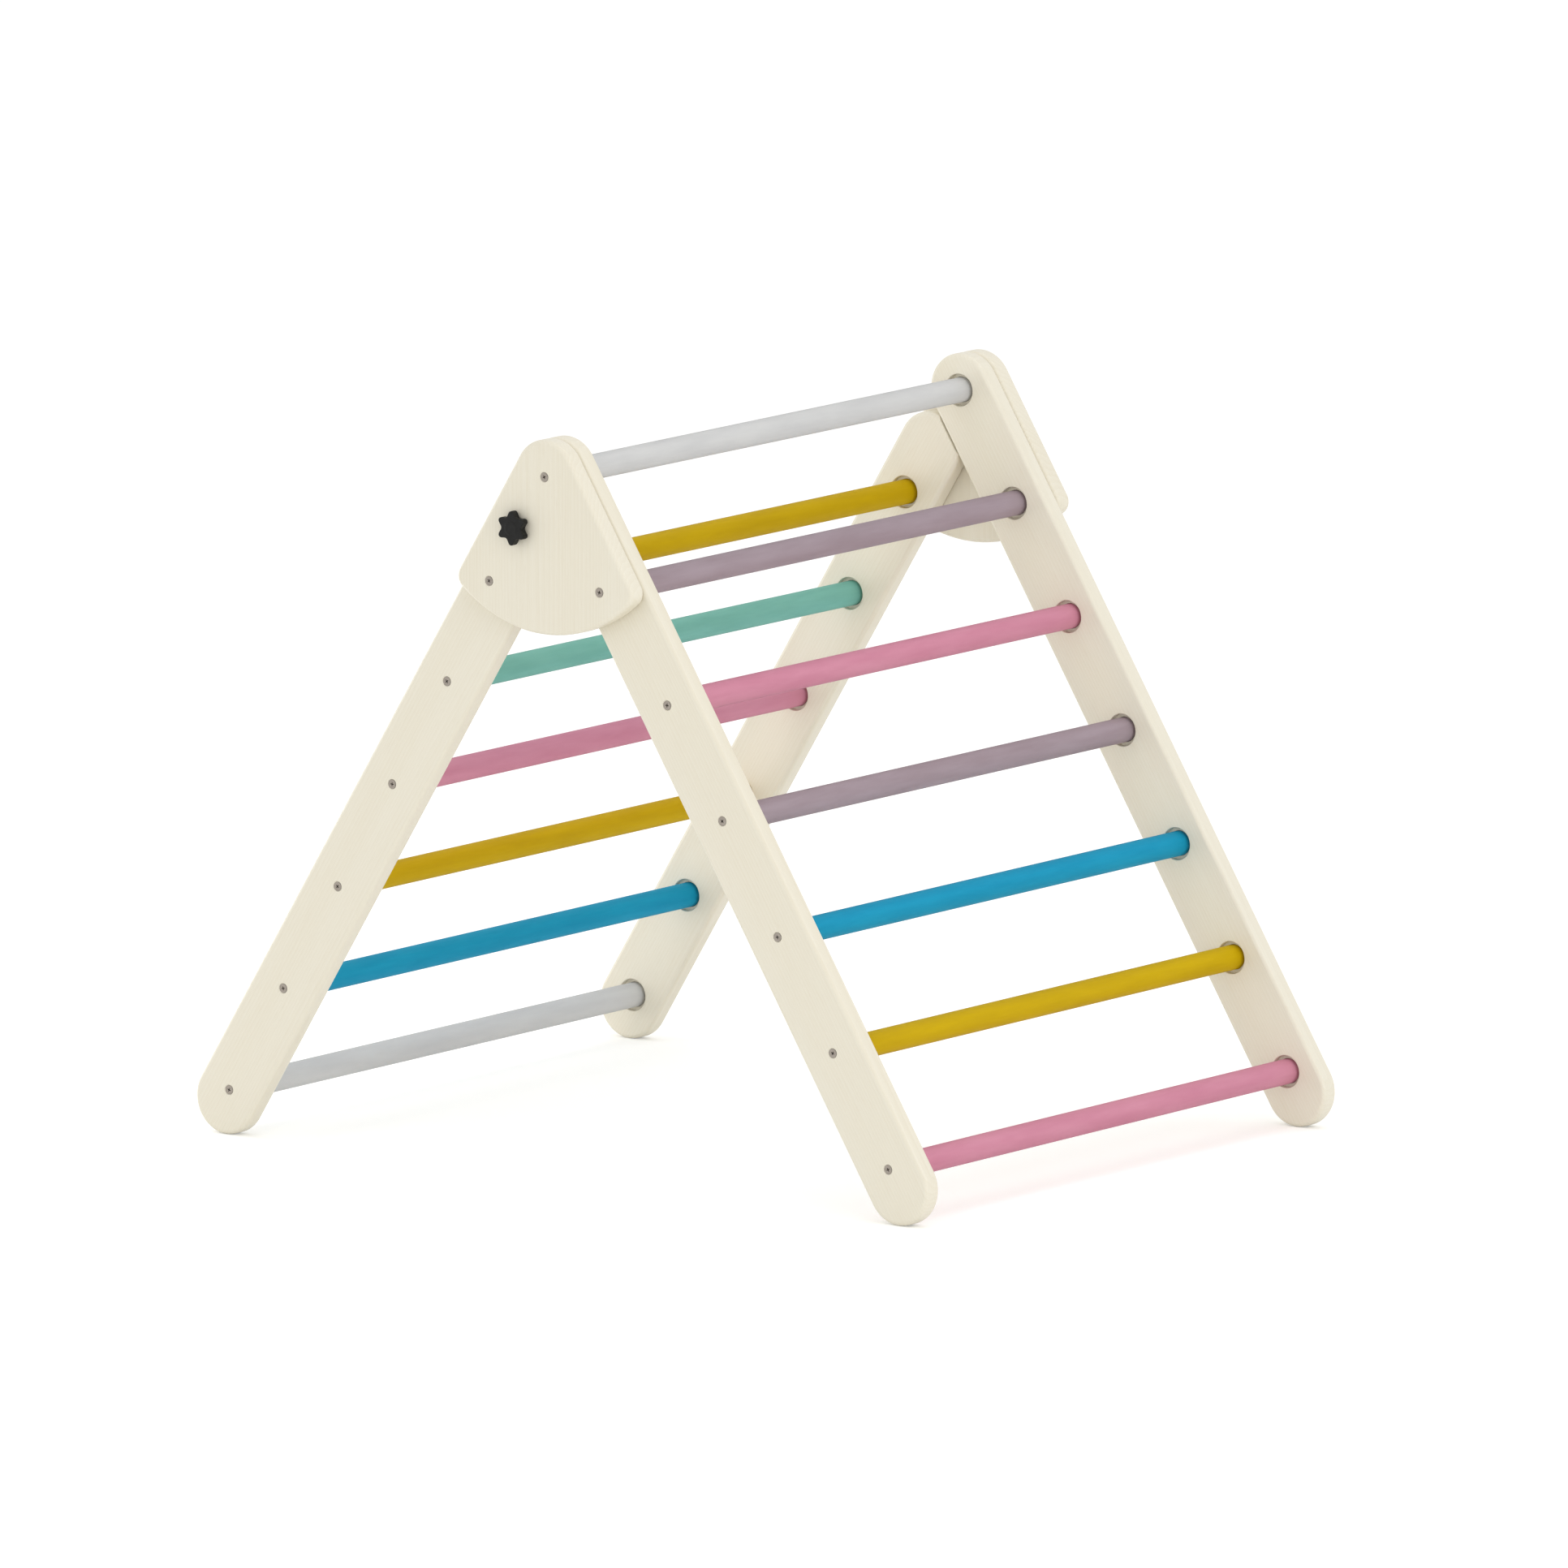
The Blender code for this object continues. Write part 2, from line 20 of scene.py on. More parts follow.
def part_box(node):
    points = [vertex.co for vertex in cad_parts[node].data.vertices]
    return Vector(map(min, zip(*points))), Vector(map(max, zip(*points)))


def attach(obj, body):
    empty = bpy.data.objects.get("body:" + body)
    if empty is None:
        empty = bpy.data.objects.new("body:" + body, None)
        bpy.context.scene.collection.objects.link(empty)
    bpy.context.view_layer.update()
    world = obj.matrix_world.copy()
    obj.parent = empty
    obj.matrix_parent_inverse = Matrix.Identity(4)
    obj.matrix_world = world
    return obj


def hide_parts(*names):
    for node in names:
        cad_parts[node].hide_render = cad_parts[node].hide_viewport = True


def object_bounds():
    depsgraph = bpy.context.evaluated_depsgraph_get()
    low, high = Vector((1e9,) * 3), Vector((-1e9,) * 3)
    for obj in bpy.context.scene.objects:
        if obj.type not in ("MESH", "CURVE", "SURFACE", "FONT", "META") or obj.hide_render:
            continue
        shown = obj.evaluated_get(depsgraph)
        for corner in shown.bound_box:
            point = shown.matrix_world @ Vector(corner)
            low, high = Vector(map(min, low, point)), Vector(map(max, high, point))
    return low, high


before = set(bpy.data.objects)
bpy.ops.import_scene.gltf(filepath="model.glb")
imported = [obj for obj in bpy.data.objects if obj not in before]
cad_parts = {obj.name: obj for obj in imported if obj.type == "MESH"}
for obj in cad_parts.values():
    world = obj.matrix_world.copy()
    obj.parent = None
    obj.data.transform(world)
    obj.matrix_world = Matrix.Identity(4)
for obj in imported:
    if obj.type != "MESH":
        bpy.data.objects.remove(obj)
cad_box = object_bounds()
MM = 0.001
NEAR, FAR = -1, 1
SIDES = {"near": NEAR, "far": FAR}

# %% [markdown]
# ## Sizes, read from the frame
#
# Everything hangs on a few lines: the axis of the top rung, the line down the middle of each
# ladder, and the flat faces of the boards. Reading them from the solids, and not typing them
# again, keeps the fine pieces on the coarse ones.


# %% Where the rungs are
def centre_of(node):
    """The middle of a solid's box."""
    low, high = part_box(node)
    return (low + high) / 2


def size_of(node):
    """How far a solid reaches along each axis."""
    low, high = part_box(node)
    return high - low


RUNG_RADIUS = 11 * MM
RUNGS_PER_LADDER = 6
RUNG_NODES = sorted(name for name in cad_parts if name.startswith("rung_"))
apex = centre_of("rung_apex")
rung_length = size_of("rung_apex").y
front_last = centre_of(f"rung_front_{RUNGS_PER_LADDER}") - apex
lean = math.atan2(front_last.x, -front_last.z)
print(f"apex at {apex.z / MM:.1f} mm, ladders lean {math.degrees(lean):.1f} degrees")

# %% Where the boards are
RAIL_HALF = 32 * MM
rail_low, rail_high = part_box("front_rail_far")
rail_face = rail_high.y
rail_back = rail_low.y
rail_thickness = rail_face - rail_back
rail_run = (apex.z - RAIL_HALF - rail_low.z) / math.cos(lean)
plate_low, plate_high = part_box("fan_plate_far")
plate_face = plate_high.y
plate_thickness = plate_high.y - plate_low.y
print(f"rails {rail_thickness / MM:.0f} mm thick, {(rail_run + 2 * RAIL_HALF) / MM:.0f} mm long")


# %% Directions along and across each ladder
def along(sign):
    """Down a ladder from the apex: sign 1 for the front one, -1 for the rear one."""
    return Vector((sign * math.sin(lean), 0, -math.cos(lean)))


def outward(sign):
    """Square to a ladder, away from the space under the triangle."""
    return Vector((sign * math.cos(lean), 0, math.sin(lean)))


def on_ladder(sign, distance, offset=0.0, y=0.0):
    """A point at a distance down a ladder's middle line, and offset outward from it."""
    return Vector((apex.x, y, apex.z)) + along(sign) * distance + outward(sign) * offset


# %% [markdown]
# ## The camera
#
# The photograph is almost free of perspective: lines that are parallel on the real object stay
# parallel to within a degree. So the camera stands far away, some 24 metres, with a very long
# lens. It looks down a little and from the front right of the near side.

# %% Set up the camera
CAMERA_AZIMUTH = math.radians(36.63)
CAMERA_ELEVATION = math.radians(9.72)
CAMERA_DISTANCE = 24.037
CAMERA_TARGET_RIGHT_OF_APEX = 19.4 * MM
CAMERA_TARGET_BELOW_APEX = 308.1 * MM
PHOTO_PIXELS = 1932
PIXELS_PER_METRE = 1422.2
SENSOR = 36.0

target = Vector((apex.x + CAMERA_TARGET_RIGHT_OF_APEX, 0, apex.z - CAMERA_TARGET_BELOW_APEX))
towards_camera = Vector((
    math.sin(CAMERA_AZIMUTH) * math.cos(CAMERA_ELEVATION),
    -math.cos(CAMERA_AZIMUTH) * math.cos(CAMERA_ELEVATION),
    math.sin(CAMERA_ELEVATION)))
bpy.ops.object.camera_add(location=target + towards_camera * CAMERA_DISTANCE)
camera = bpy.context.object
camera.rotation_euler = towards_camera.to_track_quat("Z", "Y").to_euler()
camera.data.sensor_width = SENSOR
camera.data.lens = PIXELS_PER_METRE * CAMERA_DISTANCE / PHOTO_PIXELS * SENSOR
camera.data.clip_end = 2 * CAMERA_DISTANCE
bpy.context.scene.camera = camera
print(f"lens {camera.data.lens:.0f} mm at {CAMERA_DISTANCE:.1f} m")

# %% [markdown]
# ## Tools of the workshop
#
# A few small helpers keep the modelling short. They clear the selection, pick points or edges
# of a mesh in edit mode by a rule, cut with another mesh, and finish a piece: its place goes
# into its mesh, its flat faces are shaded flat and its round ones smooth. What the object has
# more than once is modelled once and copied, and a copy for the far side is turned about.


# %% Select and pick
def deselect():
    """Leave nothing selected, so an operator acts on new work only."""
    bpy.ops.object.select_all(action="DESELECT")


def pick_points(piece, rule):
    """In edit mode, select just the points that a rule holds for."""
    bpy.ops.mesh.select_mode(type="VERT")
    bpy.ops.mesh.select_all(action="DESELECT")
    mesh = bmesh.from_edit_mesh(piece.data)
    for point in mesh.verts:
        point.select = rule(point.co)
    mesh.select_flush(True)
    bmesh.update_edit_mesh(piece.data)


def pick_edges(piece, rule):
    """In edit mode, select just the edges that a rule holds for."""
    bpy.ops.mesh.select_mode(type="EDGE")
    bpy.ops.mesh.select_all(action="DESELECT")
    mesh = bmesh.from_edit_mesh(piece.data)
    for edge in mesh.edges:
        edge.select = rule(edge)
    bmesh.update_edit_mesh(piece.data)


# %% Cut and finish
SMOOTH_ANGLE = math.radians(32)
MERGE = 0.002 * MM
CLOSE = 0.01 * MM
NEARBY = 0.1 * MM


def only(piece):
    """Select one piece and make it active."""
    deselect()
    piece.select_set(True)
    bpy.context.view_layer.objects.active = piece


def clean(piece):
    """Merge points that lie on each other, and turn the whole mesh's faces outwards."""
    only(piece)
    bpy.ops.object.mode_set(mode="EDIT")
    bpy.ops.mesh.select_all(action="SELECT")
    bpy.ops.mesh.remove_doubles(threshold=MERGE)
    bpy.ops.mesh.normals_make_consistent(inside=False)
    bpy.ops.object.mode_set(mode="OBJECT")


def cut_away(piece, cutter):
    """Take the cutter out of the piece and throw the cutter away."""
    clean(piece)
    boolean = piece.modifiers.new("cut", "BOOLEAN")
    boolean.operation = "DIFFERENCE"
    boolean.solver = "EXACT"
    boolean.object = cutter
    bpy.ops.object.modifier_apply(modifier=boolean.name)
    bpy.data.objects.remove(cutter, do_unlink=True)
    clean(piece)


def finish_piece(piece, name):
    """Bake a piece's place into its mesh, face it outwards and shade it."""
    only(piece)
    bpy.ops.object.transform_apply(location=True, rotation=True, scale=True)
    clean(piece)
    bpy.ops.object.shade_smooth_by_angle(angle=SMOOTH_ANGLE)
    weighted = piece.modifiers.new("flat_faces_stay_flat", "WEIGHTED_NORMAL")
    weighted.keep_sharp = True
    bpy.ops.object.modifier_apply(modifier=weighted.name)
    piece.name = name
    piece.data.name = name
    return piece


# %% Copy and place
def copy_to(piece, where, name):
    """A copy with its own mesh, moved inside its mesh by a matrix."""
    twin = piece.copy()
    twin.data = piece.data.copy()
    twin.name = name
    twin.data.name = name
    bpy.context.collection.objects.link(twin)
    twin.data.transform(where)
    return twin


def facing(side):
    """Turn about what was modelled for the near side, if it is for the far one."""
    return Matrix.Rotation(math.pi, 4, "Z") if side == FAR else Matrix.Identity(4)


def throw_away(masters):
    """Delete the pieces that the copies were made from."""
    for master in masters:
        bpy.data.objects.remove(master, do_unlink=True)


# %% [markdown]
# ## Boards
#
# A rail is a plank with a half-round at each end, and a fan plate is a plank cut to arcs. A
# joiner marks such an outline with a rule and compasses, and so does this helper: it takes
# one point, and draws with it, either straight on or round a centre. The outline is then
# filled, pulled out to the plank's thickness, and its rims are rounded with a router.

# %% Draw an outline with rule and compasses
ARC_STEP = math.radians(3)
EDGE_ROUNDING = 4 * MM
ROUNDING_STEPS = 6


def start_outline(point):
    """A mesh of one selected point, in edit mode: where the pencil is put down."""
    deselect()
    bpy.ops.mesh.primitive_plane_add(size=MM, location=point)
    bpy.ops.object.transform_apply(location=True)
    bpy.ops.object.mode_set(mode="EDIT")
    bpy.ops.mesh.select_mode(type="VERT")
    bpy.ops.mesh.select_all(action="SELECT")
    bpy.ops.mesh.merge(type="CENTER")
    return bpy.context.object


def draw_line(move):
    """Draw straight on by a distance."""
    bpy.ops.mesh.extrude_region_move(TRANSFORM_OT_translate={"value": move})


def draw_arc(centre, angle):
    """Draw round a centre, clockwise as the near side is seen."""
    steps = max(2, round(abs(angle) / ARC_STEP))
    bpy.ops.mesh.spin(steps=steps, angle=angle, center=centre, axis=(0, -1, 0))


# %% Fill the outline and pull it out to a plank
def cut_plank(piece, side, face, thickness):
    """Close the outline, give it its thickness and round the rims of both broad faces."""
    bpy.ops.mesh.select_mode(type="VERT")
    bpy.ops.mesh.select_all(action="SELECT")
    bpy.ops.mesh.remove_doubles(threshold=CLOSE)
    bpy.ops.mesh.select_all(action="SELECT")
    bpy.ops.mesh.edge_face_add()
    inward = (0, -side * thickness, 0)
    bpy.ops.mesh.extrude_region_move(TRANSFORM_OT_translate={"value": inward})
    bpy.ops.mesh.select_all(action="SELECT")
    bpy.ops.mesh.normals_make_consistent(inside=False)
    broad = (side * face, side * (face - thickness))

    def is_rim(edge):
        first, second = (point.co.y for point in edge.verts)
        return any(abs(first - y) + abs(second - y) < NEARBY for y in broad)

    pick_edges(piece, is_rim)
    bpy.ops.mesh.bevel(
        offset=EDGE_ROUNDING, segments=ROUNDING_STEPS, affect="EDGES", clamp_overlap=False)
    bpy.ops.object.mode_set(mode="OBJECT")


print("an arc has a point every", round(math.degrees(ARC_STEP)), "degrees")

# %% [markdown]
# ## Holes
#
# A rung's end sits in a blind socket bored into the rail's inner face. The socket opens out
# into a wider mouth, so that a dark ring shows round the rod. From outside, a countersunk hole
# for a screw meets each socket. Every hole is cut with a drill of its own shape, and a drill,
# like a screw or a stud, is a turned form: a disc, pulled out along Y and resized step by step.

# %% Turn a form along Y
QUARTER = math.radians(90)
ORIGIN = Vector((0, 0, 0))


def make_turned(place, profile, sides):
    """Pull a disc out along Y through (radius, depth) pairs; a last radius of 0 is a point."""
    radius, depth = profile[0]
    deselect()
    bpy.ops.mesh.primitive_circle_add(
        vertices=sides, radius=radius, fill_type="NGON",
        location=(place.x, depth, place.z), rotation=(QUARTER, 0, 0))
    turned = bpy.context.object
    bpy.ops.object.transform_apply(location=True, rotation=True)
    bpy.ops.object.mode_set(mode="EDIT")
    bpy.ops.mesh.select_all(action="SELECT")
    for next_radius, next_depth in profile[1:]:
        step = (0, next_depth - depth, 0)
        share = next_radius / radius
        bpy.ops.mesh.extrude_region_move(TRANSFORM_OT_translate={"value": step})
        if next_radius == 0:
            bpy.ops.mesh.merge(type="CENTER")
        elif share != 1:
            bpy.ops.transform.resize(
                value=(share, 1, share), center_override=(place.x, next_depth, place.z))
        radius, depth = next_radius, next_depth
    bpy.ops.object.mode_set(mode="OBJECT")
    clean(turned)
    return turned


# %% Drill a board
FIT_GAP = 0.3 * MM
OVERRUN = 1 * MM
BORE_SIDES = 48


def drill(board, places, profile):
    """Cut a hole of one profile at each place."""
    bits = [make_turned(place, profile, BORE_SIDES) for place in places]
    deselect()
    for bit in bits:
        bit.select_set(True)
    bpy.context.view_layer.objects.active = bits[0]
    if len(bits) > 1:
        bpy.ops.object.join()
    cut_away(board, bits[0])


# %% Bore the sockets
WOOD_BEHIND_SOCKET = 6 * MM
MOUTH_WIDTH = 3 * MM
MOUTH_DEPTH = 5 * MM
MOUTH_ROUNDING = 0.8 * MM
MOUTH_STEPS = 3
socket_radius = RUNG_RADIUS + FIT_GAP
mouth_radius = socket_radius + MOUTH_WIDTH
socket_floor = rail_face - WOOD_BEHIND_SOCKET


def bore_sockets(board, side, places):
    """Bore the blind sockets and their wider mouths, and round the mouths' rims."""
    inner = side * rail_back
    ledge = inner + side * MOUTH_DEPTH
    drill(board, places, [
        (mouth_radius, inner - side * OVERRUN), (mouth_radius, ledge),
        (socket_radius, ledge), (socket_radius, side * socket_floor)])

    def is_mouth_rim(edge):
        if any(abs(point.co.y - inner) > NEARBY for point in edge.verts):
            return False
        return any(
            all(abs(math.hypot(point.co.x - place.x, point.co.z - place.z) - mouth_radius)
                < NEARBY for point in edge.verts)
            for place in places)

    bpy.ops.object.mode_set(mode="EDIT")
    pick_edges(board, is_mouth_rim)
    bpy.ops.mesh.bevel(
        offset=MOUTH_ROUNDING, segments=MOUTH_STEPS, affect="EDGES", clamp_overlap=False)
    bpy.ops.object.mode_set(mode="OBJECT")


# %% Sink the screws' holes
SCREW_HEAD_RADIUS = 4 * MM
SCREW_RECESS = 0.4 * MM
SHANK_RADIUS = 2 * MM
PIVOT_SHANK_RADIUS = 2.5 * MM
CONE_GAP = FIT_GAP * math.sqrt(2)  # the cone slopes at 45 degrees


def sink_screws(board, side, face, back, places, shank_radius):
    """Sink a cone for a screw's head at each place, and drill on through the board."""
    top = face + OVERRUN
    head = SCREW_HEAD_RADIUS + CONE_GAP + SCREW_RECESS + OVERRUN
    shank = shank_radius + FIT_GAP
    drill(board, places, [
        (head, side * top), (shank, side * (top - head + shank)),
        (shank, side * (back - OVERRUN))])


def drill_through(board, side, face, back, places, shank_radius):
    """Drill a plain hole for a screw's shank at each place."""
    shank = shank_radius + FIT_GAP
    drill(board, places, [(shank, side * (face + OVERRUN)), (shank, side * (back - OVERRUN))])


print(f"sockets {2 * socket_radius / MM:.1f} mm wide, mouths {2 * mouth_radius / MM:.1f} mm")

# %% [markdown]
# ## Rails
#
# A front rail's head is a half-round about the apex rung. A rear rail's head lies lower and is
# sawn off along the front rail, so that the two boards lie in one plane under the fan plate.
# The four rails are drawn, sawn, rounded and bored alike. Where the fan plate lies on a rail,
# the screws' heads are in the plate, and the rail has plain holes for their shanks.

# %% Make the rails
BOARD_GAP = 0.3 * MM
FRONT_UNDER_PLATE = 2
REAR_UNDER_PLATE = 1
rung_numbers = range(1, RUNGS_PER_LADDER + 1)
front_places = [apex] + [centre_of(f"rung_front_{number}") for number in rung_numbers]
rear_places = [centre_of(f"rung_rear_{number}") for number in rung_numbers]
front_plated, front_bare = front_places[:FRONT_UNDER_PLATE], front_places[FRONT_UNDER_PLATE:]
rear_plated, rear_bare = rear_places[:REAR_UNDER_PLATE], rear_places[REAR_UNDER_PLATE:]


def make_rail(sign, side, head_from_apex, name):
    """Draw a rail from the inner side of its head, over the top, down, round and back up."""
    y = side * rail_face
    head = on_ladder(sign, head_from_apex, 0, y)
    foot = on_ladder(sign, rail_run, 0, y)
    half_turn = sign * math.pi
    rail = start_outline(head - outward(sign) * RAIL_HALF)
    draw_arc(head, half_turn)
    draw_line(foot - head)
    draw_arc(foot, half_turn)
    cut_plank(rail, side, rail_face, rail_thickness)
    rail.name = name
    return rail


def saw_beside_front_rail(rail):
    """Saw a rear rail's head off, straight along the front rail."""
    beside = on_ladder(1, 0, -(RAIL_HALF + BOARD_GAP))
    only(rail)
    bpy.ops.object.mode_set(mode="EDIT")
    bpy.ops.mesh.select_all(action="SELECT")
    bpy.ops.mesh.bisect(
        plane_co=beside, plane_no=outward(1), use_fill=True, clear_outer=True)
    bpy.ops.object.mode_set(mode="OBJECT")


pieces_of_wood = {}
for side_name, side in SIDES.items():
    front_rail = make_rail(1, side, 0, "front_rail")
    bore_sockets(front_rail, side, front_places)
    sink_screws(front_rail, side, rail_face, socket_floor, front_bare, SHANK_RADIUS)
    drill_through(front_rail, side, rail_face, socket_floor, front_plated, SHANK_RADIUS)
    pieces_of_wood["front_rail_" + side_name] = front_rail
    rear_rail = make_rail(-1, side, 2 * RAIL_HALF + BOARD_GAP, "rear_rail")
    saw_beside_front_rail(rear_rail)
    bore_sockets(rear_rail, side, rear_places)
    sink_screws(rear_rail, side, rail_face, socket_floor, rear_bare, SHANK_RADIUS)
    drill_through(rear_rail, side, rail_face, socket_floor, rear_plated, PIVOT_SHANK_RADIUS)
    pieces_of_wood["rear_rail_" + side_name] = rear_rail
print("rails:", {name: len(piece.data.polygons) for name, piece in pieces_of_wood.items()})

# %% [markdown]
# ## Fan plates
#
# The plate's top is the same half-round as the rail's head. Its sides run flush with the
# rails' outer edges, and its long lower edge is an arc about the apex, met by two small round
# corners. The compasses are set on the apex, then on each corner's own centre.
#
# Besides its screws, the plate holds a flanged threaded insert for the knob's stud. It is let
# in from the back, so its hole has three steps: flange, barrel and stud.

# %% Make the fan plates
PLATE_CORNER = 12 * MM
INSERT_FLANGE_RADIUS = 9 * MM
INSERT_FLANGE_THICKNESS = 2 * MM
INSERT_BARREL_RADIUS = 6 * MM
INSERT_LENGTH = 13 * MM
STUD_RADIUS = 4 * MM
plate_radius = apex.z - plate_low.z
corner_reach = plate_radius - PLATE_CORNER
corner_offset = RAIL_HALF - PLATE_CORNER
corner_along = math.sqrt(corner_reach ** 2 - corner_offset ** 2)
corner_spread = lean + math.atan2(corner_offset, corner_along)


def make_plate(side):
    """Draw the fan from its rear side's top, over the apex and round."""
    y = side * plate_face
    top = Vector((apex.x, y, apex.z))
    plate = start_outline(top + outward(-1) * RAIL_HALF)
    draw_arc(top, math.pi - 2 * lean)
    draw_line(along(1) * corner_along)
    corner_turn = QUARTER - corner_spread + lean
    draw_arc(on_ladder(1, corner_along, corner_offset, y), corner_turn)
    draw_arc(top, 2 * corner_spread)
    draw_arc(on_ladder(-1, corner_along, corner_offset, y), corner_turn)
    cut_plank(plate, side, plate_face, plate_thickness)
    return plate


plate_back = plate_face - plate_thickness
knob_place = centre_of("star_knob_near")
flange_hole = INSERT_FLANGE_RADIUS + FIT_GAP
barrel_hole = INSERT_BARREL_RADIUS + FIT_GAP
stud_hole = STUD_RADIUS + FIT_GAP
flange_end = plate_back + INSERT_FLANGE_THICKNESS + FIT_GAP
barrel_end = plate_back + INSERT_LENGTH + FIT_GAP
insert_hole = (
    (flange_hole, plate_back - OVERRUN), (flange_hole, flange_end),
    (barrel_hole, flange_end), (barrel_hole, barrel_end),
    (stud_hole, barrel_end), (stud_hole, plate_face + OVERRUN),
)
for side_name, side in SIDES.items():
    fan_plate = make_plate(side)
    sink_screws(fan_plate, side, plate_face, plate_back, front_plated, SHANK_RADIUS)
    sink_screws(fan_plate, side, plate_face, plate_back, rear_plated, PIVOT_SHANK_RADIUS)
    drill(fan_plate, [knob_place], [(radius, side * depth) for radius, depth in insert_hole])
    pieces_of_wood["fan_plate_" + side_name] = fan_plate
print("fan plates reach", round(plate_radius / MM), "mm below the apex")

# %% Finish the woodwork
for name, piece in pieces_of_wood.items():
    finish_piece(piece, name + "_board")
    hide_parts(name)
    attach(piece, "rear_ladder" if name.startswith("rear") else "front_ladder")

# %% [markdown]
# ## Rungs
#
# A rung is a dowel: a plain round rod whose ends are eased so that they slip into the sockets,
# with a pilot hole in each end for its screw. The first rung of the rear ladder carries the
# thicker pivot screws, so its pilot holes are wider.

# %% Make one rung of each kind and copy it
ROD_SIDES = 64
ROD_END = 1 * MM
ROD_END_STEPS = 3
PILOT_DEPTH = 30 * MM


def make_rung(pilot_radius):
    """A rod along Y, its middle at the origin."""
    deselect()
    bpy.ops.mesh.primitive_cylinder_add(
        vertices=ROD_SIDES, radius=RUNG_RADIUS, depth=rung_length, rotation=(QUARTER, 0, 0))
    rung = bpy.context.object
    bpy.ops.object.transform_apply(rotation=True)
    bpy.ops.object.mode_set(mode="EDIT")
    half = rung_length / 2
    pick_edges(rung, lambda edge: all(
        abs(abs(point.co.y) - half) < NEARBY for point in edge.verts))
    bpy.ops.mesh.bevel(offset=ROD_END, segments=ROD_END_STEPS, affect="EDGES")
    bpy.ops.object.mode_set(mode="OBJECT")
    for side in SIDES.values():
        drill_through(rung, side, half, half - PILOT_DEPTH, [ORIGIN], pilot_radius)
    return finish_piece(rung, "rung")


plain_rung = make_rung(SHANK_RADIUS)
pivot_rung = make_rung(PIVOT_SHANK_RADIUS)
rungs = {}
for node in RUNG_NODES:
    master = pivot_rung if node == "rung_rear_1" else plain_rung
    rod = copy_to(master, Matrix.Translation(centre_of(node)), node + "_rod")
    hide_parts(node)
    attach(rod, "rear_ladder" if "rear" in node else "front_ladder")
    rungs[node] = rod
throw_away([plain_rung, pivot_rung])
print("rungs:", len(rungs), "each", round(rung_length / MM), "mm long")

# %% [markdown]
# ## Screws
#
# Each screw is a zinc-plated countersunk wood screw with a cross recess, a plain neck and a
# thread down to its tip. Only its head shows. The head is a cone cut flat, the shank is pulled
# out of its small end, and the recess is cut by two crossed blades that taper inwards. The two
# pivot screws have thicker shanks.

# %% Make one screw
SCREW_SIDES = 32
BLADE_LENGTH = 4.6 * MM
BLADE_WIDTH = 1.1 * MM
BLADE_DEPTH = 2.4 * MM
BLADE_FOOT_SHARE = 0.45
SCREW_TIP = 4 * MM


def make_screw(length, shank_radius):
    """A screw whose head's top is at the origin, pointing along +Y."""
    return make_turned(ORIGIN, [
        (SCREW_HEAD_RADIUS, 0), (shank_radius, SCREW_HEAD_RADIUS - shank_radius),
        (shank_radius, length - SCREW_TIP), (0, length)], SCREW_SIDES)


def make_blade(turn):
    """One tapered blade of the driver's cross."""
    deselect()
    bpy.ops.mesh.primitive_cube_add(size=1, location=ORIGIN)
    blade = bpy.context.object
    blade.scale = (BLADE_LENGTH, 2 * BLADE_DEPTH, BLADE_WIDTH)
    bpy.ops.object.transform_apply(scale=True)
    bpy.ops.object.mode_set(mode="EDIT")
    pick_points(blade, lambda point: point.y > 0)
    bpy.ops.transform.resize(value=(BLADE_FOOT_SHARE, 1, BLADE_FOOT_SHARE))
    bpy.ops.object.mode_set(mode="OBJECT")
    blade.rotation_euler = (0, turn, 0)
    bpy.ops.object.transform_apply(rotation=True)
    return blade


# %% [markdown]
# A thread is cut as on a lathe. The tool's point is a small triangle that is swept along a
# helix, a little beyond the surface so that it comes out clean. A nut's thread is the same
# cut with its point outwards.

# %% Cut a thread
THREAD_STEPS = 24
THREAD_OPENING_SHARE = 0.8
THREAD_BEYOND_SHARE = 0.25


def cut_thread(piece, radius, depth, pitch, start, end):
    """Sweep a triangle along a right-hand helix and take it out; a depth below 0 is a nut's."""
    beyond = math.copysign(THREAD_BEYOND_SHARE * pitch, depth)
    half = THREAD_OPENING_SHARE * pitch / 2 * (1 + beyond / depth)
    groove = start_outline(Vector((radius - depth, start, 0)))
    draw_line((depth + beyond, half, 0))
    draw_line((0, -2 * half, 0))
    draw_line((-depth - beyond, half, 0))
    bpy.ops.mesh.select_all(action="SELECT")
    bpy.ops.mesh.remove_doubles(threshold=MERGE)
    bpy.ops.object.mode_set(mode="OBJECT")
    helix = groove.modifiers.new("helix", "SCREW")
    helix.axis = "Y"
    helix.steps = helix.render_steps = THREAD_STEPS
    helix.screw_offset = pitch
    helix.iterations = math.ceil((end - start) / pitch)
    bpy.ops.object.modifier_apply(modifier=helix.name)
    bpy.ops.object.mode_set(mode="EDIT")
    pick_edges(groove, lambda edge: edge.is_boundary)
    bpy.ops.mesh.fill_holes(sides=3)
    bpy.ops.object.mode_set(mode="OBJECT")
    clean(groove)
    cut_away(piece, groove)


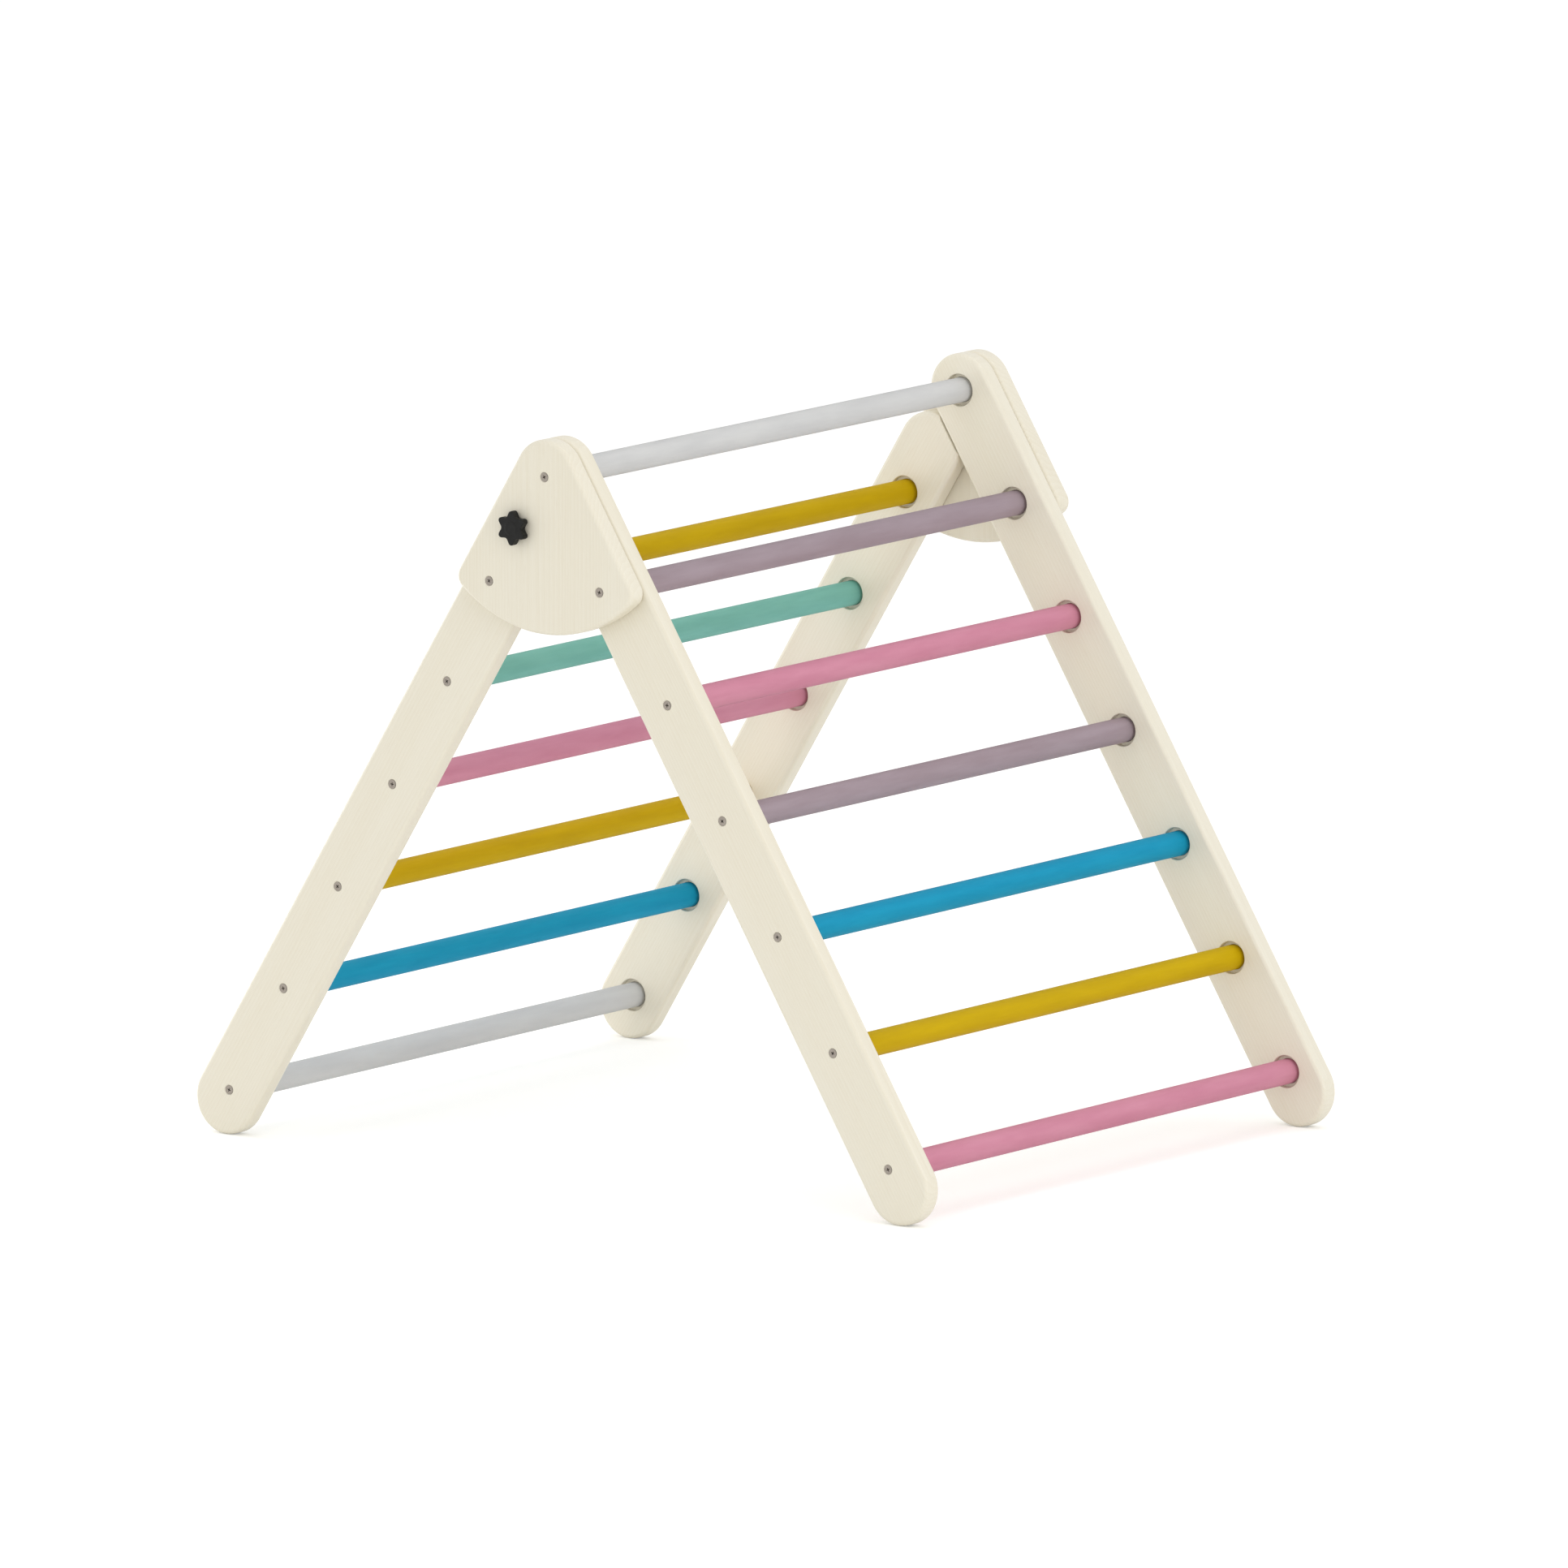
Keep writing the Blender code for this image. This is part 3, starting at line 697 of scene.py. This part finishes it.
# %% Put a screw in every hole
SCREW_TURN = math.radians(37)
SCREW_THREAD_DEPTH = 0.5 * MM
SCREW_PITCH = 1.8 * MM
PLAIN_SHANK_SHARE = 0.35
screw_nodes = sorted(
    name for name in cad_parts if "rail_screw" in name or name.startswith("plate_screw")
    or name.startswith("pivot_screw"))
masters = {}
screws = []
for number, node in enumerate(screw_nodes):
    kind = next(kind for kind in ("plate", "pivot", "rail") if kind in node)
    if kind not in masters:
        shank = PIVOT_SHANK_RADIUS if kind == "pivot" else SHANK_RADIUS
        length = size_of(node).y
        masters[kind] = make_screw(length, shank)
        cut_thread(masters[kind], shank, SCREW_THREAD_DEPTH, SCREW_PITCH,
                   PLAIN_SHANK_SHARE * length, length)
        cut_away(masters[kind], make_blade(0))
        cut_away(masters[kind], make_blade(QUARTER))
        finish_piece(masters[kind], kind + "_screw")
    low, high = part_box(node)
    side = FAR if low.y > 0 else NEAR
    place = centre_of(node)
    place.y = high.y if side == FAR else low.y
    turn = Matrix.Rotation(SCREW_TURN * number, 4, "Y")
    where = Matrix.Translation(place) @ facing(side) @ turn
    screw = copy_to(masters[kind], where, node + "_head")
    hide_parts(node)
    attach(screw, "rear_ladder" if node.startswith(("rear", "pivot")) else "front_ladder")
    screws.append(screw)
throw_away(masters.values())
print("screws:", len(screws))

# %% [markdown]
# ## Star knobs
#
# The knob is moulded in black plastic, with six round lobes above a collar. An eighteen-sided
# disc becomes one when every third corner is drawn in and the whole is subdivided. The
# subdivision pulls the outline in, so the corners start further out and further in than the
# finished lobes. At a corner, the smooth outline takes two thirds of it and a third of its
# neighbours. Halfway between two corners, it takes 23 parts in 24 of them and the rest of the
# next two. The tips lie halfway between two corners, and the valleys at a corner.

# %% Make one knob
KNOB_LOBE_DEPTH = 4.4 * MM
KNOB_LOBES = 6
KNOB_COLLAR_RADIUS = 8.5 * MM
KNOB_COLLAR_HEIGHT = 2 * MM
KNOB_EDGE = 0.8 * MM
KNOB_EDGE_STEPS = 3
KNOB_CAP_RADIUS = 6 * MM
KNOB_CAP_RISE = 0.5 * MM
KNOB_SMOOTHING = 3
CORNER_KEEPS, CORNER_TAKES = 2 / 3, 1 / 3
HALFWAY_KEEPS, HALFWAY_TAKES = 23 / 24, 1 / 24
knob_corners = 3 * KNOB_LOBES
knob_radius = size_of("star_knob_near").z / 2
knob_height = size_of("star_knob_near").y


def corner_radii(tip, valley):
    """The corner radii whose smooth outline has these tips and valleys."""
    spacing = math.tau / knob_corners
    tip_keeps = math.cos(spacing / 2) * HALFWAY_KEEPS
    tip_takes = math.cos(3 * spacing / 2) * HALFWAY_TAKES
    valley_takes = math.cos(spacing) * CORNER_TAKES
    scale = tip_keeps * CORNER_KEEPS - tip_takes * valley_takes
    return ((tip * CORNER_KEEPS - valley * tip_takes) / scale,
            (valley * tip_keeps - tip * valley_takes) / scale)


def make_knob():
    """The knob with its foot on the origin and its top towards -Y."""
    tip, valley = corner_radii(knob_radius, knob_radius - KNOB_LOBE_DEPTH)
    bottom = -KNOB_COLLAR_HEIGHT
    top = KNOB_CAP_RISE - knob_height
    deselect()
    bpy.ops.mesh.primitive_cylinder_add(
        vertices=knob_corners, radius=tip, depth=bottom - top,
        location=(0, (bottom + top) / 2, 0), rotation=(QUARTER, math.pi / knob_corners, 0))
    knob = bpy.context.object
    bpy.ops.object.transform_apply(location=True, rotation=True)
    bpy.ops.object.mode_set(mode="EDIT")
    pick_points(knob, lambda point: math.cos(KNOB_LOBES * math.atan2(point.x, point.z)) < 0)
    bpy.ops.transform.resize(value=(valley / tip, 1, valley / tip))
    rims = (bottom, top)
    pick_edges(knob, lambda edge: any(
        all(abs(point.co.y - y) < NEARBY for point in edge.verts) for y in rims))
    bpy.ops.mesh.bevel(offset=KNOB_EDGE, segments=KNOB_EDGE_STEPS, affect="EDGES")
    return knob


def make_round(knob, radius):
    """Put the selected ring of points on a circle."""
    mesh = bmesh.from_edit_mesh(knob.data)
    for point in mesh.verts:
        if point.select:
            reach = math.hypot(point.co.x, point.co.z)
            point.co.x *= radius / reach
            point.co.z *= radius / reach
    bmesh.update_edit_mesh(knob.data)


def add_collar_and_cap(knob):
    """Inset the top and raise a low cap, inset the underside and pull the collar out."""
    faces = (
        (KNOB_CAP_RISE - knob_height, KNOB_CAP_RADIUS, -KNOB_CAP_RISE),
        (-KNOB_COLLAR_HEIGHT, KNOB_COLLAR_RADIUS, KNOB_COLLAR_HEIGHT),
    )
    for y, radius, pull in faces:
        mesh = bmesh.from_edit_mesh(knob.data)
        bpy.ops.mesh.select_mode(type="FACE")
        bpy.ops.mesh.select_all(action="DESELECT")
        for face in mesh.faces:
            face.select = abs(face.calc_center_median().y - y) < CLOSE
        bmesh.update_edit_mesh(knob.data)
        bpy.ops.mesh.inset(thickness=KNOB_EDGE, depth=0)
        make_round(knob, radius)
        bpy.ops.mesh.extrude_region_move(TRANSFORM_OT_translate={"value": (0, pull, 0)})
        bpy.ops.mesh.inset(thickness=KNOB_EDGE / 2, depth=0)


# %% Smooth the knob and put one on each plate
first_knob = make_knob()
add_collar_and_cap(first_knob)
bpy.ops.object.mode_set(mode="OBJECT")
smoothing = first_knob.modifiers.new("moulded", "SUBSURF")
smoothing.levels = smoothing.render_levels = KNOB_SMOOTHING
only(first_knob)
bpy.ops.object.modifier_apply(modifier=smoothing.name)
finish_piece(first_knob, "knob")
print("knob:", [round(size / MM, 1) for size in first_knob.dimensions], "mm")

knobs = []
for side_name, side in SIDES.items():
    node = "star_knob_" + side_name
    low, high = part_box(node)
    place = centre_of(node)
    place.y = low.y if side == FAR else high.y
    knob = copy_to(first_knob, Matrix.Translation(place) @ facing(side), node + "_moulding")
    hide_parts(node)
    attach(knob, "knob_" + side_name)
    knobs.append(knob)
throw_away([first_knob])

# %% [markdown]
# ## Studs and inserts
#
# A steel stud is moulded into each knob. It passes a brass insert let into the plate's back,
# and its tip presses on the rear rail. Both are turned on a lathe, so the same helper makes
# them, chamfers and all. They show when the ladders are folded.

# %% Turn the studs and the inserts
TURNED_SIDES = 48
STUD_CHAMFER = 1 * MM
STUD_PITCH = 1.25 * MM
STUD_THREAD_DEPTH = 0.7 * MM
NUT_THREAD_DEPTH = 0.45 * MM
INSERT_CHAMFER = 0.4 * MM


def make_stud(length):
    """A stud whose tip is at the origin, pointing along -Y."""
    stud = make_turned(ORIGIN, [
        (STUD_RADIUS - STUD_CHAMFER, 0), (STUD_RADIUS, -STUD_CHAMFER), (STUD_RADIUS, -length)],
        TURNED_SIDES)
    cut_thread(stud, STUD_RADIUS, STUD_THREAD_DEPTH, STUD_PITCH, 2 * STUD_PITCH - length, 0)
    return stud


def make_insert():
    """A flanged bush whose flange is at the origin, its barrel pointing along -Y."""
    flange, barrel = INSERT_FLANGE_RADIUS, INSERT_BARREL_RADIUS
    bush = make_turned(ORIGIN, [
        (flange - INSERT_CHAMFER, 0), (flange, -INSERT_CHAMFER),
        (flange, -INSERT_FLANGE_THICKNESS), (barrel, -INSERT_FLANGE_THICKNESS),
        (barrel, INSERT_CHAMFER - INSERT_LENGTH), (barrel - INSERT_CHAMFER, -INSERT_LENGTH)],
        TURNED_SIDES)
    mouth = stud_hole + INSERT_CHAMFER
    beyond = -INSERT_LENGTH - OVERRUN
    drill(bush, [ORIGIN], [
        (mouth + OVERRUN, OVERRUN), (stud_hole, -INSERT_CHAMFER), (stud_hole, beyond)])
    cut_thread(bush, stud_hole, -NUT_THREAD_DEPTH, STUD_PITCH, beyond, OVERRUN)
    return bush


stud_master = finish_piece(make_stud(size_of("knob_stud_near").y), "stud")
insert_master = finish_piece(make_insert(), "insert")
studs = []
inserts = []
for side_name, side in SIDES.items():
    seat = Matrix.Translation((knob_place.x, side * plate_back, knob_place.z)) @ facing(side)
    for master, kind, body, made in (
            (stud_master, "knob_stud_", "knob_" + side_name, studs),
            (insert_master, "threaded_insert_", "front_ladder", inserts)):
        piece = copy_to(master, seat, kind + side_name + "_turned")
        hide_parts(kind + side_name)
        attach(piece, body)
        made.append(piece)
throw_away([stud_master, insert_master])
print("studs:", len(studs), "inserts:", len(inserts))

# %% [markdown]
# ## Materials
#
# Colours are written as they are seen on a screen, and one function turns them into the
# linear values that Blender works in. Another adds a node with its settings and links. A few
# more, built on it, do what every material needs: read the place on the object and stretch it,
# make a soft random pattern, spread a pattern's values, mix two colours and lead the results
# into the shader. That keeps each material down to the list of what it is made of. A random
# pattern is given by three numbers: its patches in a metre, how many finer layers it has, and
# how strong each of them is beside the one before.


# %% Colours and nodes
def screen(hex_colour):
    """A screen colour such as E9E3D3 as linear red, green, blue and alpha."""
    values = [int(hex_colour[i:i + 2], 16) / 255 for i in (0, 2, 4)]
    linear = [v / 12.92 if v <= 0.04045 else ((v + 0.055) / 1.055) ** 2.4 for v in values]
    return (*linear, 1)


def add_node(tree, kind, settings, inputs):
    """Add a node, set its settings, and give each input a value or a link."""
    made = tree.nodes.new("ShaderNode" + kind)
    for name, value in settings.items():
        setattr(made, name, value)
    for name, value in inputs.items():
        if isinstance(value, bpy.types.NodeSocket):
            tree.links.new(value, made.inputs[name])
        else:
            made.inputs[name].default_value = value
    return made


def new_material(name):
    """A fresh material, its node tree and its shader."""
    made = bpy.data.materials.new(name)
    made.use_nodes = True
    return made, made.node_tree, made.node_tree.nodes["Principled BSDF"]


# %% Patterns, mixes and links
NOISE_MIDDLE = (0.3, 0.7)  # most of a noise's values lie between these


def place_on(tree):
    """The place on the object, in metres."""
    return add_node(tree, "TexCoord", {}, {}).outputs["Object"]


def turn_and_scale(tree, place, turn, scale):
    """Turn a place about Y and scale it along each axis."""
    return add_node(tree, "Mapping", {"vector_type": "POINT"}, {
        "Vector": place, "Rotation": (0, turn, 0), "Scale": scale}).outputs["Vector"]


def noise(tree, place, per_metre, layers, strength):
    """A soft random pattern with so many patches in a metre."""
    return add_node(tree, "TexNoise", {}, {
        "Vector": place, "Scale": per_metre, "Detail": layers, "Roughness": strength})


def spread(tree, value, source, target):
    """Map one range of a pattern's values onto another."""
    return add_node(tree, "MapRange", {}, {
        "Value": value, "From Min": source[0], "From Max": source[1],
        "To Min": target[0], "To Max": target[1]}).outputs["Result"]


def mix(tree, factor, first, second):
    """Mix two colours, sockets 6 and 7: each a screen colour or another node's output."""
    first, second = (
        screen(colour) if isinstance(colour, str) else colour for colour in (first, second))
    return add_node(tree, "Mix", {"data_type": "RGBA"}, {
        0: factor, 6: first, 7: second}).outputs[2]


def lead_in(tree, shader, colour, roughness, relief, strength, height):
    """Lead a colour, a roughness and a relief of a given height into the shader."""
    bump = add_node(tree, "Bump", {}, {
        "Height": relief, "Strength": strength, "Distance": height})
    tree.links.new(colour, shader.inputs["Base Color"])
    tree.links.new(roughness, shader.inputs["Roughness"])
    tree.links.new(bump.outputs["Normal"], shader.inputs["Normal"])


# %% [markdown]
# ### Lacquered birch
#
# The boards are a pale, even wood such as birch or beech, planed, sanded and sprayed with a
# clear satin lacquer. To the eye that gives an ivory board with faint growth rings, fine
# short fibres along its length, and a soft sheen. Rings and fibres are three-dimensional
# patterns, so they meet at the edges of a board as they do in real timber. A ladder's boards
# lean, so the pattern is turned to run along them.

# %% Make the wood
RING_SPACING = 3.2 * MM
RING_DRIFT = 12 * MM
RING_DRIFT_NOISE = (42.0, 2.0, 0.5)
RING_WOBBLE = 1.2
RING_WOBBLE_LAYERS = 2.0
RING_WOBBLE_SCALE = 1.5
RING_STRETCH = 0.035
RING_TONES = ("E8E2D1", "E4DDCA")
HEART_BEHIND_FACE = 46 * MM
HEART_OFF_CENTRE = 14 * MM
WAVE_LENGTH_SHARE = math.tau / 20  # a wave texture's wavelength at a scale of 1

GRAIN_STRETCH = 0.03
FIBRE_WIDTH = 0.7 * MM
FIBRE_NOISE = (1 / FIBRE_WIDTH, 3.0, 0.6)
FIBRE_RANGE = (0.35, 0.75)
FIBRE_SHARE = 0.2
FIBRE_TONE = "D8CDB2"
FIBRE_RELIEF = 0.12
FIBRE_HEIGHT = 0.1 * MM
CLOUD_NOISE = (26.0, 2.0, 0.5)
CLOUD_RANGE = (0.35, 0.7)
CLOUD_SHARE = 0.3
CLOUD_TONE = "ECE8DA"
FLECK_WIDTH = 0.45 * MM
FLECK_NOISE = (1 / FLECK_WIDTH, 1.0, 0.5)
FLECK_RANGE = (0.62, 0.74)
FLECK_SHARE = 0.12
FLECK_TONE = "C4AF8C"

LACQUER_RANGE = (0.3, 0.8)
LACQUER_ROUGHNESS = (0.42, 0.52)
LACQUER_COAT = 0.15
LACQUER_COAT_ROUGHNESS = 0.3


def make_rings(tree, upright, sideways):
    """Growth rings about a heart that lies behind the board's outer face."""
    parts = add_node(tree, "SeparateXYZ", {}, {"Vector": upright})
    mirrored = add_node(tree, "Math", {"operation": "ABSOLUTE"}, {0: parts.outputs["Y"]})
    from_heart_x = add_node(tree, "Math", {"operation": "ADD"}, {
        0: parts.outputs["X"], 1: HEART_OFF_CENTRE + sideways})
    from_heart_y = add_node(tree, "Math", {"operation": "SUBTRACT"}, {
        0: mirrored.outputs[0], 1: rail_face + HEART_BEHIND_FACE})
    along_grain = add_node(tree, "Math", {"operation": "MULTIPLY"}, {
        0: parts.outputs["Z"], 1: RING_STRETCH})
    log = add_node(tree, "CombineXYZ", {}, {
        "X": from_heart_x.outputs[0], "Y": from_heart_y.outputs[0],
        "Z": along_grain.outputs[0]}).outputs["Vector"]
    drift = noise(tree, log, *RING_DRIFT_NOISE)
    drifting = add_node(tree, "VectorMath", {"operation": "MULTIPLY_ADD"}, {
        0: drift.outputs["Color"], 1: (RING_DRIFT, RING_DRIFT, 0), 2: log})
    return add_node(tree, "TexWave", {
        "wave_type": "RINGS", "rings_direction": "Z", "wave_profile": "SAW"}, {
        "Vector": drifting.outputs["Vector"], "Scale": WAVE_LENGTH_SHARE / RING_SPACING,
        "Distortion": RING_WOBBLE, "Detail": RING_WOBBLE_LAYERS,
        "Detail Scale": RING_WOBBLE_SCALE})


def make_wood(name, turn, sideways):
    """Birch whose grain runs down a board that leans by an angle about Y."""
    made, tree, shader = new_material(name)
    upright = turn_and_scale(tree, place_on(tree), turn, (1, 1, 1))
    stretched = turn_and_scale(tree, upright, 0, (1, 1, GRAIN_STRETCH))
    rings = make_rings(tree, upright, sideways).outputs["Fac"]
    fibres = noise(tree, stretched, *FIBRE_NOISE).outputs["Fac"]
    flecks = noise(tree, stretched, *FLECK_NOISE).outputs["Fac"]
    clouds = noise(tree, stretched, *CLOUD_NOISE).outputs["Fac"]

    tone = mix(tree, rings, *RING_TONES)
    tone = mix(tree, spread(tree, fibres, FIBRE_RANGE, (0, FIBRE_SHARE)), tone, FIBRE_TONE)
    tone = mix(tree, spread(tree, clouds, CLOUD_RANGE, (0, CLOUD_SHARE)), tone, CLOUD_TONE)
    tone = mix(tree, spread(tree, flecks, FLECK_RANGE, (0, FLECK_SHARE)), tone, FLECK_TONE)
    roughness = spread(tree, fibres, LACQUER_RANGE, LACQUER_ROUGHNESS)
    lead_in(tree, shader, tone, roughness, fibres, FIBRE_RELIEF, FIBRE_HEIGHT)
    shader.inputs["Coat Weight"].default_value = LACQUER_COAT
    shader.inputs["Coat Roughness"].default_value = LACQUER_COAT_ROUGHNESS
    return made


wood_of_front = make_wood("lacquered_birch_front_ladder", lean, 0)
wood_of_rear = make_wood("lacquered_birch_rear_ladder", -lean, 21 * MM)
wood_of_plates = make_wood("lacquered_birch_fan_plates", 0, -9 * MM)
print("growth rings every", RING_SPACING / MM, "mm")

# %% [markdown]
# ### Painted rods
#
# The rungs are dipped or sprayed with a satin water-based paint. It levels out almost flat,
# but long faint ridges of the wood's grain still show in the sheen, and the film is a
# little thinner and paler in places.

# %% Make the paints
RIDGE_WIDTH = 1.1 * MM
RIDGE_NOISE = (1 / RIDGE_WIDTH, 2.0, 0.5)
RIDGE_STRETCH = 0.03
RIDGE_RELIEF = 0.15
RIDGE_HEIGHT = 0.12 * MM
FILM_NOISE = (90.0, 3.0, 0.55)
FILM_STRETCH = 0.15
PAINT_SHEEN = 0.1
PAINT_ROUGHNESS = (0.55, 0.65)
PAINTS = {
    "grey_white": ("D2D2D1", "C9C9C9"),
    "mauve": ("A5959D", "9B8A91"),
    "pink": ("D38FA4", "CB849A"),
    "blue": ("1A99BE", "1490B6"),
    "yellow": ("CCAA00", "C2A000"),
    "teal": ("80C0B4", "75B5A9"),
}
RUNG_PAINT = {
    "rung_apex": "grey_white",
    "rung_front_1": "mauve", "rung_front_2": "pink", "rung_front_3": "mauve",
    "rung_front_4": "blue", "rung_front_5": "yellow", "rung_front_6": "pink",
    "rung_rear_1": "yellow", "rung_rear_2": "teal", "rung_rear_3": "pink",
    "rung_rear_4": "yellow", "rung_rear_5": "blue", "rung_rear_6": "grey_white",
}


def make_paint(name, light, dark):
    """Satin paint on a turned rod that lies along Y."""
    made, tree, shader = new_material("satin_paint_" + name)
    place = place_on(tree)
    long_ridges = turn_and_scale(tree, place, 0, (1, RIDGE_STRETCH, 1))
    long_patches = turn_and_scale(tree, place, 0, (1, FILM_STRETCH, 1))
    ridges = noise(tree, long_ridges, *RIDGE_NOISE).outputs["Fac"]
    film = noise(tree, long_patches, *FILM_NOISE).outputs["Fac"]
    tone = mix(tree, spread(tree, film, NOISE_MIDDLE, (0, 1)), light, dark)
    roughness = spread(tree, ridges, NOISE_MIDDLE, PAINT_ROUGHNESS)
    lead_in(tree, shader, tone, roughness, ridges, RIDGE_RELIEF, RIDGE_HEIGHT)
    shader.inputs["Specular IOR Level"].default_value = PAINT_SHEEN
    return made


paint = {name: make_paint(name, *tones) for name, tones in PAINTS.items()}
print("paints:", ", ".join(paint))

# %% [markdown]
# ### Black plastic, zinc-plated steel and brass
#
# The knobs are moulded in glass-filled nylon from a spark-eroded mould, which leaves a fine
# pebbled satin. The screws and studs are zinc-plated steel, grey with a soft shine. The inserts
# in the plates, which only show when the ladders are folded, are plain turned brass.

# %% Make the plastic and the metals
PEBBLE_WIDTH = 0.35 * MM
PEBBLE_HEIGHT = 0.05 * MM
PEBBLE_NOISE = (1 / PEBBLE_WIDTH, 2.0, 0.5)
TONE_NOISE = (220.0, 2.0, 0.5)
NYLON_SHEEN = 0.25


def make_plain(name, light, dark, roughness, relief, metallic):
    """A surface of two near tones, with a fine even grain in its relief."""
    made, tree, shader = new_material(name)
    place = place_on(tree)
    pebbles = noise(tree, place, *PEBBLE_NOISE).outputs["Fac"]
    broad = noise(tree, place, *TONE_NOISE).outputs["Fac"]
    lead_in(tree, shader, mix(tree, broad, light, dark),
            spread(tree, broad, NOISE_MIDDLE, roughness), pebbles, relief, PEBBLE_HEIGHT)
    shader.inputs["Metallic"].default_value = metallic
    return made


black_nylon = make_plain("moulded_black_nylon", "1A1A19", "121211", (0.5, 0.62), 0.5, 0)
black_nylon.node_tree.nodes["Principled BSDF"].inputs[
    "Specular IOR Level"].default_value = NYLON_SHEEN
zinc = make_plain("zinc_plated_steel", "A69E95", "988F86", (0.35, 0.5), 0.2, 1)
brass = make_plain("turned_brass", "C9A55C", "B8944C", (0.25, 0.4), 0.1, 1)
print("plain surfaces:", black_nylon.name, zinc.name, brass.name)


# %% Put the materials on
def dress(piece, material):
    """Give a piece one material, whatever it had."""
    piece.data.materials.clear()
    piece.data.materials.append(material)


wood = {"front": wood_of_front, "rear": wood_of_rear, "fan": wood_of_plates}
for name, piece in pieces_of_wood.items():
    dress(piece, wood[name.split("_")[0]])
for node, rod in rungs.items():
    dress(rod, paint[RUNG_PAINT[node]])
for screw in screws + studs:
    dress(screw, zinc)
for knob in knobs:
    dress(knob, black_nylon)
for insert in inserts:
    dress(insert, brass)
print("dressed:", len(pieces_of_wood) + len(rungs) + len(screws + studs + knobs + inserts))

# %% [markdown]
# ## Floor and light
#
# The photograph is lit as in a bright room against white: soft light from all round, and a
# little more from above. A small low lamp on the left reaches the inner faces of the far
# rails. The floor is pale, catches a soft shadow and shows white to the camera, with the
# lamps at a level where a colour comes out about as it is written.

# %% Lay the floor
FLOOR_HALF = 30.0
FLOOR_GLOW = 0.23
deselect()
bpy.ops.mesh.primitive_plane_add(size=2 * FLOOR_HALF, location=(0, 0, cad_box[0][2]))
floor = bpy.context.object
floor.name = "floor"
floor_material, tree, unused_shader = new_material("white_floor")
tree.nodes.remove(unused_shader)
rays = add_node(tree, "LightPath", {}, {})
seen = add_node(tree, "Math", {"operation": "MAXIMUM"}, {
    0: rays.outputs["Is Camera Ray"], 1: rays.outputs["Is Glossy Ray"]})
glow = add_node(tree, "Math", {"operation": "MULTIPLY"}, {0: seen.outputs[0], 1: FLOOR_GLOW})
lit = add_node(tree, "BsdfDiffuse", {}, {"Color": screen("F6F6F4")})
light = add_node(tree, "Emission", {}, {"Color": (1, 1, 1, 1), "Strength": glow.outputs[0]})
both = add_node(tree, "AddShader", {}, {0: lit.outputs[0], 1: light.outputs[0]})
tree.links.new(both.outputs[0], tree.nodes["Material Output"].inputs["Surface"])
dress(floor, floor_material)

# %% Hang the lamps
WORLD_STRENGTH = 0.87
WHITE_STRENGTH = 1.0
# For each lamp: where it hangs in metres, how wide it is in metres, its power in watts
LAMPS = {
    "key": ((-1.2, -3.4, 2.2), 2.6, 11.0),
    "fill": ((3.4, -1.2, 1.2), 2.4, 25.0),
    "top": ((0.4, 0.6, 4.0), 3.0, 14.0),
    "side": ((-1.2, -0.15, 0.35), 0.7, 2.8),
}
middle = Vector((0, 0, apex.z / 2))
for name, (spot, size, power) in LAMPS.items():
    deselect()
    bpy.ops.object.light_add(type="AREA", location=spot)
    lamp = bpy.context.object
    lamp.name = name + "_lamp"
    lamp.data.size = size
    lamp.data.energy = power
    lamp.rotation_euler = (Vector(spot) - middle).to_track_quat("Z", "Y").to_euler()

world = bpy.context.scene.world or bpy.data.worlds.new("room")
bpy.context.scene.world = world
world.use_nodes = True
sky = world.node_tree
for old in list(sky.nodes):
    sky.nodes.remove(old)
rays = add_node(sky, "LightPath", {}, {})
strength = add_node(sky, "Mix", {"data_type": "FLOAT"}, {
    0: rays.outputs["Is Camera Ray"], 2: WORLD_STRENGTH, 3: WHITE_STRENGTH})
room = add_node(sky, "Background", {}, {
    "Color": (1, 1, 1, 1), "Strength": strength.outputs[0]})
out = add_node(sky, "OutputWorld", {}, {"Surface": room.outputs[0]})
bpy.context.scene.view_settings.view_transform = "Standard"
print("lamps:", ", ".join(LAMPS), "- the room's light:", WORLD_STRENGTH)
